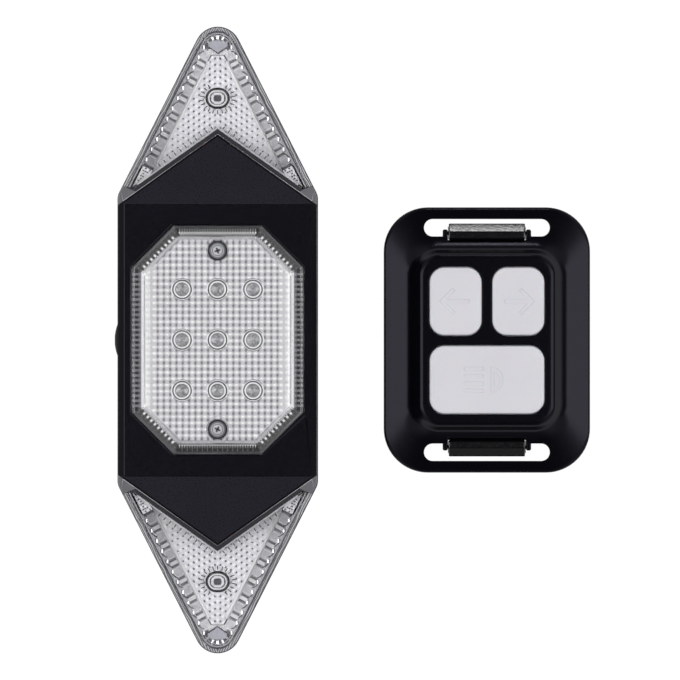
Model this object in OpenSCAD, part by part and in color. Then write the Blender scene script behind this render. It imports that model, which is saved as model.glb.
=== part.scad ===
// Bicycle turn signal light with its handlebar remote.
// Both lie face up: +Z towards the viewer, +Y along the light. The origin is
// the mouth of the threaded insert, at the centre of the light's flat back.

/* [Light body] */
// Length of the light from tip to tip
light_l = 170; // [160:1:185]
// Width of the light
light_w = 54.4; // [52:0.2:60]
// Half length of the light's straight sides
side_half_l = 39.2; // [37:0.2:42]
// Radius of the two tips
tip_r = 6.3; // [5.4:0.1:8]
// Radius where the straight sides turn into the tapers
shoulder_r = 4; // [3:0.5:6]
// Height of the joint between rear and front housing
parting_z = 9; // [8:0.5:10]
// Height of the flat front face
face_z = 24; // [23:0.5:28]
// Distance from the centre to the fold where the front face starts to fall
fold_y = 36.9; // [34:0.1:39]
// How far the front has fallen at the tips
tip_fall = 9; // [7:0.5:10]
// Distance from the centre to the point of each V end
v_apex_y = 55.4; // [53:0.1:57]
// Distance from the centre to the foot of each V end, on the sides
v_foot_y = 36.2; // [34:0.1:38]
// Width of the chamfer along the front housing's long edges
edge_chamfer = 1.4; // [0.6:0.1:2]

/* [Housing walls] */
// Wall of the rear housing
rear_wall = 1.8; // [1.4:0.1:2.2]
// Floor of the rear housing
rear_floor = 2; // [1.6:0.1:2.6]
// Step between the rear housing's edge and the front housing's edge
front_inset = 0.3; // [0.1:0.1:0.6]
// Wall of the front housing
front_wall = 1.7; // [1.4:0.1:2]
// Skin of the front housing's face
front_skin = 2; // [1.5:0.1:2.5]
// Width of the seal between the housings
seal_w = 1; // [0.8:0.1:1.3]
// Depth of the seal's groove
seal_t = 1; // [0.8:0.1:1.3]
// Clearance beside a seal in its groove
seal_gap = 0.1; // [0.05:0.05:0.15]
// Clearance between the rear housing's lip and the front housing
lip_gap = 0.2; // [0.1:0.05:0.3]
// Thickness of the lip
lip_t = 0.8; // [0.6:0.1:1.2]
// Height of the lip above the joint
lip_h = 1.5; // [1:0.1:2]
// Height of the thick rim below the joint
rim_h = 2; // [1.6:0.1:3]

/* [Housing screws] */
// Distance of a housing screw from the centre line
screw_x = 19; // [17.5:0.1:19.5]
// Distance of a housing screw from the middle
screw_y = 36; // [35.4:0.1:36.8]
// Radius of a housing screw's shank
screw_r = 1.25; // [1:0.05:1.4]
// Radius of a housing screw's head
screw_head_r = 2.3; // [2:0.1:2.4]
// Height of a housing screw's head
screw_head_h = 1.5; // [1.2:0.1:1.7]
// Length of a housing screw's shank
screw_l = 12; // [9:0.5:14]
// Radius of the boss that a housing screw bites into
screw_boss_r = 3; // [2.6:0.1:3.2]
// Height of the boss's lower end above the back
screw_boss_z = 4.5; // [4:0.1:5.5]
// How far a rear boss reaches past the front one
boss_flare = 0.6; // [0.4:0.1:1]
// Depth of a screw's counterbore
counterbore_h = 2; // [1.8:0.1:2.4]
// Clearance round a screw's shank in its thread
thread_gap = 0.05; // [0.02:0.01:0.1]
// Clearance round a screw in a plain hole
hole_gap = 0.25; // [0.15:0.05:0.4]

/* [Back mount] */
// Outer radius of the threaded insert
insert_r = 3.5; // [3:0.1:4]
// Thread radius of the insert
insert_bore_r = 2.1; // [1.7:0.1:2.6]
// Length of the insert
insert_l = 6; // [5:0.5:8]
// Wall of the boss round the insert
insert_wall = 2; // [1.5:0.1:2.5]
// Thickness over the insert's inner end
insert_cap = 2; // [1.5:0.1:3]
// Width of the insert's groove
insert_groove_w = 0.8; // [0.5:0.1:1]
// Depth of the insert's groove
insert_groove_d = 0.4; // [0.3:0.1:0.6]

/* [End lenses] */
// Wall of an end lens
lens_wall = 1.5; // [1.2:0.1:1.7]
// Wall of an end lens along the V
lens_v_wall = 1.3; // [1:0.1:1.6]
// Thickness of an end lens's face
lens_top = 1.8; // [1.4:0.1:2.2]
// Gap between an end lens and the front housing
v_gap = 0.15; // [0.1:0.05:0.3]
// Distance from a tip to the end lens's screw post
post_from_tip = 19.6; // [18:0.1:21]
// Radius of the screw post
post_r = 2.5; // [2:0.1:2.8]
// Clearance round the screw post
post_gap = 0.3; // [0.2:0.05:0.4]
// How far the base below the screw post reaches past it
post_base = 1; // [0.6:0.1:1.5]
// Radius of an end lens screw's shank
end_screw_r = 1; // [0.8:0.05:1.1]
// Radius of an end lens screw's head
end_screw_head_r = 1.9; // [1.6:0.1:2]
// Height of an end lens screw's head
end_screw_head_h = 1.3; // [1:0.1:1.6]
// Length of an end lens screw's shank
end_screw_l = 9; // [7:0.5:10]
// How deep the heads of the screws in the back sit in it
screw_sink = 0.5; // [0.3:0.1:0.8]
// Thickness of the rear housing between an end screw's head and the post
post_seat_t = 2.2; // [1.6:0.1:2.6]
// Width of the notch that the leads pass through
lead_notch_w = 3.6; // [3.4:0.1:4.5]
// Height of the lead notch above the joint
lead_notch_h = 4.6; // [4.4:0.1:5]

/* [End boards] */
// Thickness of an end board
end_board_t = 1; // [0.8:0.1:1.2]
// Clearance between an end board and the lens wall
end_board_gap = 0.3; // [0.2:0.05:0.5]
// Diodes along each taper
end_led_count = 7; // [4:1:8]
// Distance of the first diode from the shoulder
end_led_from_foot = 11.4; // [10.5:0.1:12.5]
// Distance of the last diode from the round tip
end_led_from_tip = 2.9; // [2.7:0.1:6]
// Distance of the diodes from the outline
end_led_inset = 4; // [3.9:0.1:4.2]
// Size of a diode across the taper
end_led_w = 2.6; // [2:0.1:2.7]
// Size of a diode along the taper
end_led_l = 2.6; // [2:0.1:2.7]
// Height of a diode
end_led_h = 0.9; // [0.6:0.1:1.2]
// Distance of the reflector panel from the outline
panel_inset = 5.6; // [5.6:0.1:6]
// Height of the reflector panel above its board
panel_h = 2.5; // [2.3:0.1:2.7]
// Thickness of the reflector panel
panel_t = 0.9; // [0.7:0.1:1]
// Thickness of the reflector panel's low wall
panel_wall = 0.6; // [0.5:0.1:0.9]
// Distance from a tip to the panel's cut end
panel_from_tip = 8; // [7.5:0.1:11]

/* [Centre lens] */
// Width of the centre lens
centre_w = 46.4; // [44:0.2:47]
// Length of the centre lens
centre_l = 62; // [60:0.2:63]
// Leg of the lens's cut corners
centre_cut = 11.3; // [9:0.1:12]
// Width of the lens's sloping border
centre_bevel = 3.8; // [3:0.1:4.4]
// Thickness of the lens's flange
flange_t = 1.2; // [1:0.1:1.6]
// Height of the lens's raised field above its flange
centre_rise = 2.8; // [2:0.1:4]
// Thickness of the lens's raised field
centre_t = 1.8; // [1.4:0.1:2.2]
// Depth of the lens's seat below the face
seat_h = 1.5; // [1.2:0.1:1.8]
// Clearance round the lens in its seat
seat_gap = 0.2; // [0.1:0.05:0.3]
// Thickness of the lens's seal
centre_seal_t = 0.5; // [0.3:0.1:0.8]
// Width of the ledge that carries the seal
ledge_w = 2; // [1.6:0.1:2.4]
// Thickness of the ledge
ledge_t = 2; // [1.6:0.1:2.2]
// How far the ledge reaches past the seat
ledge_margin = 1.5; // [1:0.1:2]
// Wall of the lens's sloping border
border_wall = 1; // [0.8:0.1:1.2]
// How far the lens's hollow stays below the border's foot
border_foot = 0.4; // [0.3:0.1:0.6]
// Distance from the lens's end to a centre lens screw
centre_screw_edge = 6.8; // [6.6:0.1:7.4]
// Radius of a centre lens screw's shank
centre_screw_r = 0.9; // [0.7:0.05:1]
// Radius of a centre lens screw's head
centre_screw_head_r = 1.75; // [1.5:0.05:2.2]
// Height of a centre lens screw's head
centre_screw_head_h = 1.3; // [1:0.1:1.6]
// How deep a centre lens screw's head sits below the raised field
centre_screw_sink = 1.3; // [0.8:0.1:1.4]
// Length of a centre lens screw's shank
centre_screw_l = 7; // [5:0.5:8]
// Radius of the counterbores in the lens
centre_bore_r = 2.75; // [2.4:0.05:3]
// Thickness of the lens below a screw head
centre_web_t = 2.4; // [2:0.1:2.6]
// Wall round a counterbore
centre_post_wall = 0.8; // [0.6:0.1:1]

/* [Centre diodes] */
// Radius of a centre diode
led_r = 2.5; // [2.3:0.1:2.6]
// Radius of a centre diode's foot
led_foot_r = 2.9; // [2.7:0.1:3]
// Height of a centre diode's foot
led_foot_h = 1; // [0.8:0.1:1.2]
// Height of a centre diode
led_h = 8.7; // [7:0.1:9]
// Pitch of the diodes across the light
led_pitch_x = 9.6; // [9:0.1:10]
// Pitch of the diodes along the light
led_pitch_y = 13.7; // [12:0.1:14]
// Clearance round a diode in the reflector
led_gap = 0.25; // [0.15:0.05:0.4]
// Thickness of the reflector
reflector_t = 1; // [0.8:0.1:1.2]
// Height of the reflector's floor above the main board
reflector_lift = 2; // [1.6:0.1:2.2]
// Overlap of the reflector's flange under the ledge
reflector_lap = 1.6; // [1.2:0.1:2]
// Clearance of the reflector in the opening
tray_gap = 0.3; // [0.2:0.05:0.5]
// Radius of the reflector's legs
tray_leg_r = 1.2; // [1:0.1:1.4]
// Distance of a leg from the reflector's side and cut corner
tray_leg_edge = 2.5; // [2:0.1:3]
// Wall of the sleeves that the centre lens screws bite into
sleeve_wall = 1.7; // [1.3:0.1:1.8]
// Clearance round a sleeve in the main board
sleeve_gap = 0.4; // [0.2:0.05:0.5]
// Floor of a sleeve
sleeve_floor = 0.5; // [0.4:0.1:0.7]
// Gap between a screw's end and the sleeve's floor
sleeve_end_gap = 0.3; // [0.2:0.05:0.4]

/* [Electronics] */
// Gap between the main board and the side walls
board_side_gap = 2.7; // [2.5:0.1:3.2]
// How much shorter the main board is than the centre lens
board_short = 5; // [4:0.5:6]
// Thickness of the main board
board_t = 1.6; // [1.2:0.1:2]
// Height of the main board's underside
board_z = 14; // [13.8:0.1:14.4]
// Radius of the posts that carry the main board
board_post_r = 2; // [1.5:0.1:2.5]
// Distance of a board post from the board's edges
board_post_edge = 3; // [2.5:0.1:3.5]
// Width of the battery
battery_w = 30; // [26:0.5:31]
// Length of the battery
battery_l = 26; // [22:0.5:27]
// Thickness of the battery
battery_t = 7; // [5:0.5:7.5]
// Distance from the middle to the battery's near end
battery_y = 8; // [7.5:0.1:9]
// Width of the radio module
radio_w = 14; // [10:0.5:15]
// Length of the radio module
radio_l = 16; // [12:0.5:18]
// Thickness of the radio module's board
radio_board_t = 1; // [0.6:0.1:1.2]
// Height of the radio module's metal can
radio_can_h = 1.4; // [1:0.1:2]
// Border of the radio module's board round its can
radio_border = 1.5; // [1:0.1:2.5]
// Radius of a lead
lead_r = 0.6; // [0.4:0.05:0.6]
// Distance from the centre line to the red end leads
lead_x = 3.5; // [3.4:0.1:3.6]
// Spacing of red and black leads
lead_pitch = 1.4; // [1.3:0.1:1.6]

/* [Charging port and power button] */
// Width of the charging connector
port_w = 8.94; // [7.5:0.02:9.2]
// Height of the charging connector
port_h = 3.16; // [2.4:0.02:3.2]
// Depth of the charging connector
port_d = 7.3; // [6:0.1:8]
// Wall of the connector's shell
port_shell = 0.3; // [0.25:0.05:0.4]
// Thickness of the connector's back
port_back = 1; // [0.8:0.1:1.5]
// Thickness of the connector's tongue
tongue_t = 0.7; // [0.6:0.05:0.8]
// Distance of the tongue from the connector's sides
tongue_side = 1.2; // [1:0.1:1.6]
// Clearance round the connector's mouth and round the cover's plug
plug_gap = 0.1; // [0.05:0.05:0.2]
// Distance of the connector along the light
port_y = 10; // [8:0.5:12]
// Width of the port cover
cover_w = 12; // [11:0.2:14]
// Height of the port cover
cover_h = 5.2; // [4.8:0.1:5.6]
// Thickness of the port cover
cover_t = 0.8; // [0.6:0.1:1]
// Clearance round the port cover and round the button
cover_gap = 0.2; // [0.1:0.05:0.3]
// Length of the power button
power_w = 8.4; // [7:0.1:9]
// Height of the power button
power_h = 4.2; // [3.6:0.1:4.4]
// How far the button stands out past the rear housing
power_proud = 0.7; // [0.6:0.1:1.2]
// Width of the button's inner flange
power_flange = 0.8; // [0.5:0.1:0.9]
// Thickness of the button's inner flange
power_flange_t = 0.6; // [0.4:0.1:0.8]
// Travel of the power button
power_travel = 0.5; // [0.3:0.1:0.6]
// Length of the side switch
switch_l = 6.2; // [5:0.1:7]
// Depth of the side switch
switch_d = 4; // [3:0.1:5]
// Height of the side switch
switch_h = 3.2; // [2.6:0.1:3.4]
// How far the side switch stands out past the main board
switch_out = 0.3; // [0.1:0.1:0.6]
// Width of the side switch's plunger
plunger_w = 2.4; // [1.6:0.1:3]
// Height of the side switch's plunger
plunger_h = 1.4; // [1:0.1:1.8]

/* [Remote body] */
// Distance from the light's axis to the remote's
remote_x = 73; // [68:1:120]
// Width of the remote
remote_w = 56; // [54:0.5:60]
// Length of the remote
remote_l = 72; // [71:0.5:76]
// Corner radius of the remote
remote_r = 12; // [8:0.5:14]
// Thickness of the saddle pad
pad_t = 2.2; // [2:0.1:3]
// Depth of the bar groove in the pad
groove_h = 1.6; // [1:0.1:1.8]
// Radius of the bar that the groove fits
bar_r = 15.9; // [11:0.1:17.5]
// Height of the rear cover
cover_z = 4.3; // [4:0.1:5]
// How far the rear cover reaches past the block at the sides
cover_side = 0.4; // [0.2:0.1:0.9]
// How far the rear cover reaches past the block at the ends
cover_end = 1; // [0.8:0.1:1.1]
// Floor of the rear cover
cover_floor = 1.4; // [1:0.1:1.6]
// Thickness of the skirt's edge
skirt_t = 2.3; // [2:0.1:3]
// Height that the skirt gains up to the block
skirt_rise = 2.2; // [1.5:0.1:3]
// Width of the skirt beside the raised block
skirt_w = 6.9; // [5:0.1:9]
// Height of the raised block above the skirt
block_h = 4; // [3.6:0.1:5]
// Corner radius of the raised block at its foot
block_r = 7.7; // [6:0.1:9]
// Width that the block loses up to its top
block_taper_w = 6.2; // [5:0.1:7]
// Length that the block loses up to its top
block_taper_l = 4.6; // [3.6:0.1:5.6]
// Round-over of the block's top edge
block_edge = 0.5; // [0.3:0.1:0.8]
// Wall at the block's foot, at the sides
block_side_wall = 3.4; // [3.2:0.1:3.6]
// Wall at the block's foot, at the ends
block_end_wall = 3; // [2.9:0.1:3.2]
// Corner radius of the inside
cavity_r = 5; // [4:0.1:6]
// Skin over the inside
block_skin = 2; // [1.6:0.1:2.4]
// Distance of the saddle pad from the inside's outline
pad_inset = 0.5; // [0.3:0.1:1.5]
// Distance of a board post in the remote from the inside's walls
remote_post_edge = 3.2; // [2.8:0.1:3.6]
// Radius of a board post in the remote
remote_post_r = 1.5; // [1:0.1:1.8]

/* [Strap slots and hooks] */
// Width of a strap slot
slot_w = 34.1; // [32:0.1:35]
// Opening of a strap slot
slot_h = 4.7; // [4.5:0.1:4.9]
// Width of the bar outside a slot
slot_bar = 3.2; // [2.6:0.1:4]
// Distance from the raised block's foot to a slot
slot_land = 2.8; // [2.7:0.05:3.2]
// Width of a strap hook
hook_w = 20.7; // [18:0.1:22]
// Clearance beside a hook
hook_gap = 0.25; // [0.15:0.05:0.4]
// Width of an ear
ear_w = 1.4; // [1.2:0.1:1.8]
// Reach of an ear into the slot
ear_reach = 1.9; // [1.7:0.1:2.1]
// Height of an ear above the skirt's underside
ear_h = 3.5; // [3.2:0.1:4]
// Radius of a hinge pin
pin_r = 0.5; // [0.4:0.05:0.55]
// Distance of the pin outside the slot's inner edge
pin_out = 0.9; // [0.8:0.05:1]
// Height of the pin above the skirt's underside
pin_up = 1.8; // [1.6:0.1:2]
// Clearance round the pin in a hook
pin_run = 0.06; // [0.02:0.01:0.1]
// Clearance round the pin in the ears
pin_fit = 0.02; // [0.01:0.01:0.04]
// Depth of the notch that a hook's tail swings in
notch_d = 1.6; // [1.6:0.05:1.75]
// Height of the ledge across the foot of the notch
notch_ledge_h = 0.8; // [0.6:0.1:0.9]
// Gap between the notch's ledge and a hook's plate
notch_ledge_gap = 0.55; // [0.5:0.05:0.6]
// Height of a hook above its pin
hook_up = 2; // [1.8:0.1:2.2]
// Reach of a hook outside its pin
hook_out = 2.6; // [2.4:0.1:2.8]
// Reach of a hook inside its pin
hook_in = 1.9; // [1.7:0.05:1.95]
// Depth of a hook below its pin
hook_down = 5.4; // [4.6:0.1:5.8]
// Thickness of a hook's plate and lip
hook_t = 1.3; // [1.1:0.1:1.5]

/* [Remote buttons] */
// Distance between two buttons
button_split = 2.9; // [2.6:0.1:3.6]
// Distance from a button to the inside's long walls
button_side = 2.15; // [2:0.05:3]
// Distance from a button to the inside's end walls
button_end = 2.5; // [2.3:0.05:3]
// How far the buttons sit below the remote's middle
button_shift = 0.15; // [0:0.05:0.2]
// Corner radius of the buttons
button_r = 4; // [3:0.1:5]
// Gap round a button in the block's top
button_gap = 0.25; // [0.15:0.05:0.3]
// How far a button stands above the block
button_proud = 0.9; // [0.7:0.1:1.6]
// Bevel round a button's top
button_bevel = 0.7; // [0.4:0.1:1]
// Width of a button's hidden flange
button_flange = 0.8; // [0.6:0.1:0.9]
// Thickness of a button's hidden flange
button_flange_t = 1.1; // [0.8:0.1:1.3]
// Travel of a button
button_travel = 0.5; // [0.3:0.1:0.6]
// Depth of the engraved signs
sign_h = 0.25; // [0.15:0.05:0.4]
// Stroke of the engraved signs
sign_stroke = 1; // [0.8:0.1:1.4]
// Length of an engraved arrow
arrow_sign_l = 7.5; // [6:0.1:9]
// Width of an engraved arrow's head
arrow_sign_w = 6.5; // [5:0.1:8]
// Height of the engraved lamp
lamp_sign_h = 6.9; // [5:0.1:8]
// Length of the engraved beams
lamp_beam_l = 5.3; // [3:0.1:6]
// Gap between the engraved lamp and its beams
lamp_gap = 1.9; // [1.2:0.1:2.4]
// Clearance of the keypad web in the block
web_gap = 0.3; // [0.2:0.05:0.5]
// Clearance between the keypad web and a button's flange
web_button_gap = 0.2; // [0.1:0.05:0.3]

/* [Remote electronics] */
// Thickness of the remote's board
remote_board_t = 1.2; // [0.8:0.1:1.4]
// Radius of the coin cell
cell_r = 10; // [8:0.5:10]
// Thickness of the coin cell
cell_t = 3.2; // [2.5:0.1:3.2]
// Thickness of the cell's metal clip
clip_t = 0.2; // [0.15:0.05:0.3]
// Width of the cell's metal clip
clip_w = 6; // [4:0.5:8]
// Clearance between the cell and its clip
clip_gap = 0.3; // [0.1:0.05:0.4]
// Length of the clip's feet
clip_foot = 2.2; // [1.5:0.1:3]
// Clearance round the remote's board
remote_board_gap = 0.4; // [0.2:0.05:0.5]
// Side of a key switch
key_side = 6.2; // [4:0.1:6.4]
// Radius of a key switch's plunger
key_r = 1.6; // [1:0.1:1.8]
// Height of a key switch's body
key_h = 2.6; // [2:0.1:2.7]
// How far a key switch's plunger stands out
key_rise = 0.4; // [0.3:0.05:0.6]
// Width of the remote's seal
remote_seal_w = 0.8; // [0.6:0.1:1]
// Distance of the seal from the inside
remote_seal_land = 0.5; // [0.4:0.1:0.6]
// Side of the remote's chip
chip_side = 5; // [3:0.5:6]
// Height of the remote's chip
chip_h = 0.9; // [0.6:0.1:1.2]
// Distance of a remote screw from the rear cover's long sides
remote_screw_side = 4.3; // [4.1:0.1:4.7]
// Distance of a remote screw from the rear cover's ends
remote_screw_end = 2.5; // [2.4:0.05:2.6]
// Length of a remote screw's shank
remote_screw_l = 5.6; // [4:0.1:6]
// Height of a remote screw's head
remote_screw_head_h = 1.3; // [1:0.1:1.5]
// Depth of a remote screw's counterbore
remote_counterbore_h = 1.8; // [1.6:0.1:2.2]
// Radius of a remote screw's shank
remote_screw_r = 0.9; // [0.7:0.05:0.95]
// Radius of a remote screw's head
remote_screw_head_r = 1.85; // [1.6:0.05:1.9]
// Clearance round a remote screw's head
remote_head_gap = 0.15; // [0.1:0.05:0.2]
// Clearance round a remote screw's shank
remote_hole_gap = 0.2; // [0.1:0.05:0.3]

/* [Hidden] */
$fn = 64;
eps = 0.01;
idle_gap = 0.1;

// The light's outline and slopes
half_w = light_w / 2;
half_l = light_l / 2;
tip_y = half_l - tip_r;
taper_a = atan(half_w / (tip_y - side_half_l))
    - asin(tip_r / norm([half_w, tip_y - side_half_l]));
end_slope = tip_fall / (half_l - fold_y);
v_slope = (v_apex_y - v_foot_y) / half_w;
v_a = atan(v_slope);
wide = 1.2 * light_w;
long = 1.1 * light_l;

// The rim between the housings, as insets from the outline
front_in = front_inset + front_wall;
lip_out = front_in + lip_gap;
lip_in = lip_out + lip_t;
groove_out = lip_out - seal_w - 2 * seal_gap;
lip_z = parting_z + lip_h;

// The stack of the centre lens
seat_z = face_z - seat_h;
ledge_z = seat_z - ledge_t;
flange_z = seat_z + centre_seal_t;
field_foot_z = flange_z + flange_t;
field_z = field_foot_z + centre_rise;
opening_w = centre_w + 2 * seat_gap - 2 * ledge_w;
opening_l = centre_l + 2 * seat_gap - 2 * ledge_w;
opening_cut = centre_cut - 0.5858 * (ledge_w - seat_gap);
board_top_z = board_z + board_t;
reflector_z = board_top_z + reflector_lift;
centre_screw_y = centre_l / 2 - centre_screw_edge;
centre_screw_z = field_z - centre_screw_head_h - centre_screw_sink;
web_z = centre_screw_z - centre_web_t;
centre_screw_end_z = centre_screw_z - centre_screw_l;

// The ends
end_board_top_z = lip_z + end_board_t;
panel_top_z = end_board_top_z + panel_h;
panel_tip_y = half_l - panel_from_tip;
post_y = half_l - post_from_tip;
v_board = v_gap + lens_v_wall + end_board_gap;
end_screw_z = end_screw_head_h + screw_sink;
post_z = end_screw_z + post_seat_t;
taper_l = norm([half_w, tip_y - side_half_l]) * cos(asin(tip_r / norm([half_w, tip_y
    - side_half_l])));

// The side openings
wall_out_x = half_w - front_inset;
wall_in_x = half_w - front_in;
board_w = 2 * (wall_in_x - board_side_gap);
board_l = centre_l - board_short;
board_post_x = board_w / 2 - board_post_edge;
board_post_y = board_l / 2 - board_post_edge;
port_z = board_z - port_h / 2;
power_out_x = half_w + power_proud;
power_in_x = wall_in_x - idle_gap - power_flange_t;
plunger_x = power_in_x - power_travel - idle_gap;
sleeve_r = centre_screw_r + sleeve_wall;

// The remote's plan
slot_y = remote_l / 2 - slot_bar - slot_h;
block_l = 2 * (slot_y - slot_land);
block_w = remote_w - 2 * skirt_w;
cavity_w = block_w - 2 * block_side_wall;
cavity_l = block_l - 2 * block_end_wall;
rear_cover_w = block_w + 2 * cover_side;
rear_cover_l = block_l + 2 * cover_end;
remote_screw_x = rear_cover_w / 2 - remote_screw_side;
remote_screw_y = rear_cover_l / 2 - remote_screw_end;
mode_w = cavity_w - 2 * button_side;
arrow_w = (mode_w - button_split) / 2;
button_l = (cavity_l - 2 * button_end - button_split) / 2;
arrow_x = (arrow_w + button_split) / 2;
arrow_y = (button_l + button_split) / 2 - button_shift;
mode_y = (button_l + button_split) / 2 + button_shift;

// The remote's levels
rear_top_z = pad_t + cover_z;
rear_floor_z = pad_t + cover_floor;
remote_seat_z = pad_t + remote_counterbore_h;
skirt_z = rear_top_z + skirt_t;
block_foot_z = skirt_z + skirt_rise;
block_top_z = block_foot_z + block_h;
skin_z = block_top_z - block_skin;
key_flange_z = skin_z - idle_gap - button_flange_t;
key_top_z = key_flange_z - button_travel - idle_gap;
remote_board_top_z = key_top_z - key_rise - key_h;
remote_board_z = remote_board_top_z - remote_board_t;
cell_z = remote_board_z - cell_t;
pin_y = slot_y + pin_out;
pin_z = rear_top_z + pin_up;
ledge_d = hook_t + notch_ledge_gap - pin_out;
ear_x = hook_w / 2 + hook_gap;

// Points on an arc about c
function arc(c, r, a0, a1, n = 6) =
    [for (i = [0:n]) c + r * [cos(a0 + (a1 - a0) * i / n), sin(a0 + (a1 - a0) * i / n)]];

// Quarter of the light's outline, set in by d: tip, taper and shoulder
function outline_quarter(d) = let(
    r = max(shoulder_r - d, 0.2),
    foot = side_half_l - d * tan(taper_a / 2) - r * tan(taper_a / 2)
) concat(
    arc([half_w - d - r, foot], r, 0, taper_a, 3),
    arc([0, tip_y], max(tip_r - d, 0.3), taper_a, 90, 8)
);

// Mirror a list of points, kept in turning order
function flip(points, sx, sy) =
    [for (i = [len(points) - 1:-1:0]) [points[i][0] * sx, points[i][1] * sy]];
function turned(points) = [for (p = points) -p];

// The light's outline, set in by d
function outline(d = 0) = let(q = outline_quarter(d))
    concat(q, flip(q, -1, 1), turned(q), flip(q, 1, -1));

// Rectangle with rounded corners
function round_rect(w, l, r, n = 6) = concat(
    arc([w / 2 - r, l / 2 - r], r, 0, 90, n),
    arc([r - w / 2, l / 2 - r], r, 90, 180, n),
    arc([r - w / 2, r - l / 2], r, 180, 270, n),
    arc([w / 2 - r, r - l / 2], r, 270, 360, n)
);

// Rectangle with cut corners
function cut_rect(w, l, c) = let(q = [[w / 2, l / 2 - c], [w / 2 - c, l / 2]])
    concat(q, flip(q, -1, 1), turned(q), flip(q, 1, -1));

// The centre lens's eight-sided outline, set in by d
function centre_outline(d = 0) =
    cut_rect(centre_w - 2 * d, centre_l - 2 * d, centre_cut - 0.5858 * d);

// A flat slab between two heights
module slab(points, z0, z1) {
    translate([0, 0, z0]) linear_extrude(z1 - z0) polygon(points);
}

// A ring between two outlines
module ring_slab(outer, inner, z0, z1) {
    difference() {
        slab(outer, z0, z1);
        slab(inner, z0 - 1, z1 + 1);
    }
}

// A solid through a stack of [outline, height] sections
module loft(sections) {
    n = len(sections[0][0]);
    m = len(sections);
    points = [for (s = sections) for (p = s[0]) [p[0], p[1], s[1]]];
    sides = [for (k = [0:m - 2]) for (i = [0:n - 1]) let(j = (i + 1) % n)
        [k * n + i, (k + 1) * n + i, (k + 1) * n + j, k * n + j]];
    ends = [[for (i = [0:n - 1]) i], [for (i = [n - 1:-1:0]) (m - 1) * n + i]];
    polyhedron(points, concat(sides, ends), convexity = 4);
}

// A bar along X with the given section in Y and Z
module along_x(section, x0, x1) {
    translate([x0, 0, 0]) rotate([90, 0, 90]) linear_extrude(x1 - x0) polygon(section);
}

// A bar along Y with the given section in X and Z
module along_y(section, y0, y1) {
    translate([0, y1, 0]) rotate([90, 0, 0]) linear_extrude(y1 - y0) polygon(section);
}

// A round rod between two heights
module rod(r, z0, z1) {
    translate([0, 0, z0]) cylinder(r = r, h = z1 - z0);
}

module four_ways(x, y) {
    for (sx = [-1, 1]) for (sy = [-1, 1]) translate([sx * x, sy * y, 0]) children();
}

module lower_end() {
    rotate([0, 0, 180]) children();
}

module at_remote() {
    translate([remote_x, 0, 0]) children();
}

// All that lies under the light's front surface, lowered by drop
module under_face(drop = 0) {
    foot = face_z - drop - end_slope * (long / 2 - fold_y);
    along_x([[-long / 2, -1], [long / 2, -1], [long / 2, foot], [fold_y, face_z - drop],
        [-fold_y, face_z - drop], [-long / 2, foot]], -wide / 2, wide / 2);
}

// All that lies inside the front's chamfered sides
module inside_chamfer() {
    w = half_w - front_inset;
    along_y([[-w, -1], [w, -1], [w, face_z - edge_chamfer], [w - edge_chamfer, face_z],
        [edge_chamfer - w, face_z], [-w, face_z - edge_chamfer]], -long / 2, long / 2);
}

// The part of the light between its two V ends, grown by g
function v_y(x, g) = v_apex_y - v_slope * x + g / cos(v_a);
function between_v(g = 0) = [
    [-wide / 2, -v_y(wide / 2, g)], [0, -v_y(0, g)], [wide / 2, -v_y(wide / 2, g)],
    [wide / 2, v_y(wide / 2, g)], [0, v_y(0, g)], [-wide / 2, v_y(wide / 2, g)]
];

// The part of the light beyond its upper V, kept g away from it
function beyond_v(g = 0) = [
    [-wide / 2, v_y(wide / 2, g)], [0, v_y(0, g)], [wide / 2, v_y(wide / 2, g)],
    [wide / 2, long], [-wide / 2, long]
];

// The notch that lets the leads into the upper end
module lead_notch() {
    translate([-lead_x - lead_pitch / 2 - lead_notch_w / 2, v_foot_y, parting_z - 1])
        cube([lead_notch_w, v_apex_y + 4 - v_foot_y, lead_notch_h + 1]);
}

// A lead of round section in the plane x, along points of Y and Z
module lead(x, route, sides = 8) {
    n = len(route);
    function way(i) = let(
        a = route[max(i - 1, 0)], b = route[i], c = route[min(i + 1, n - 1)],
        u = (i > 0 ? (b - a) / norm(b - a) : [0, 0]) + (i < n - 1 ? (c - b) / norm(c - b) : [0, 0])
    ) u / norm(u);
    points = [for (i = [0:n - 1]) for (k = [0:sides - 1]) let(
        t = way(i), s = lead_r * sin(360 * k / sides), c = lead_r * cos(360 * k / sides)
    ) [x + c, route[i][0] - s * t[1], route[i][1] + s * t[0]]];
    walls = [for (i = [0:n - 2]) for (k = [0:sides - 1]) let(
        j = (k + 1) % sides, p = i * sides, q = p + sides
    ) each [[p + k, p + j, q + j], [p + k, q + j, q + k]]];
    ends = [[for (k = [sides - 1:-1:0]) k], [for (k = [0:sides - 1]) (n - 1) * sides + k]];
    polyhedron(points, concat(walls, ends), convexity = 4);
}

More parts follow.
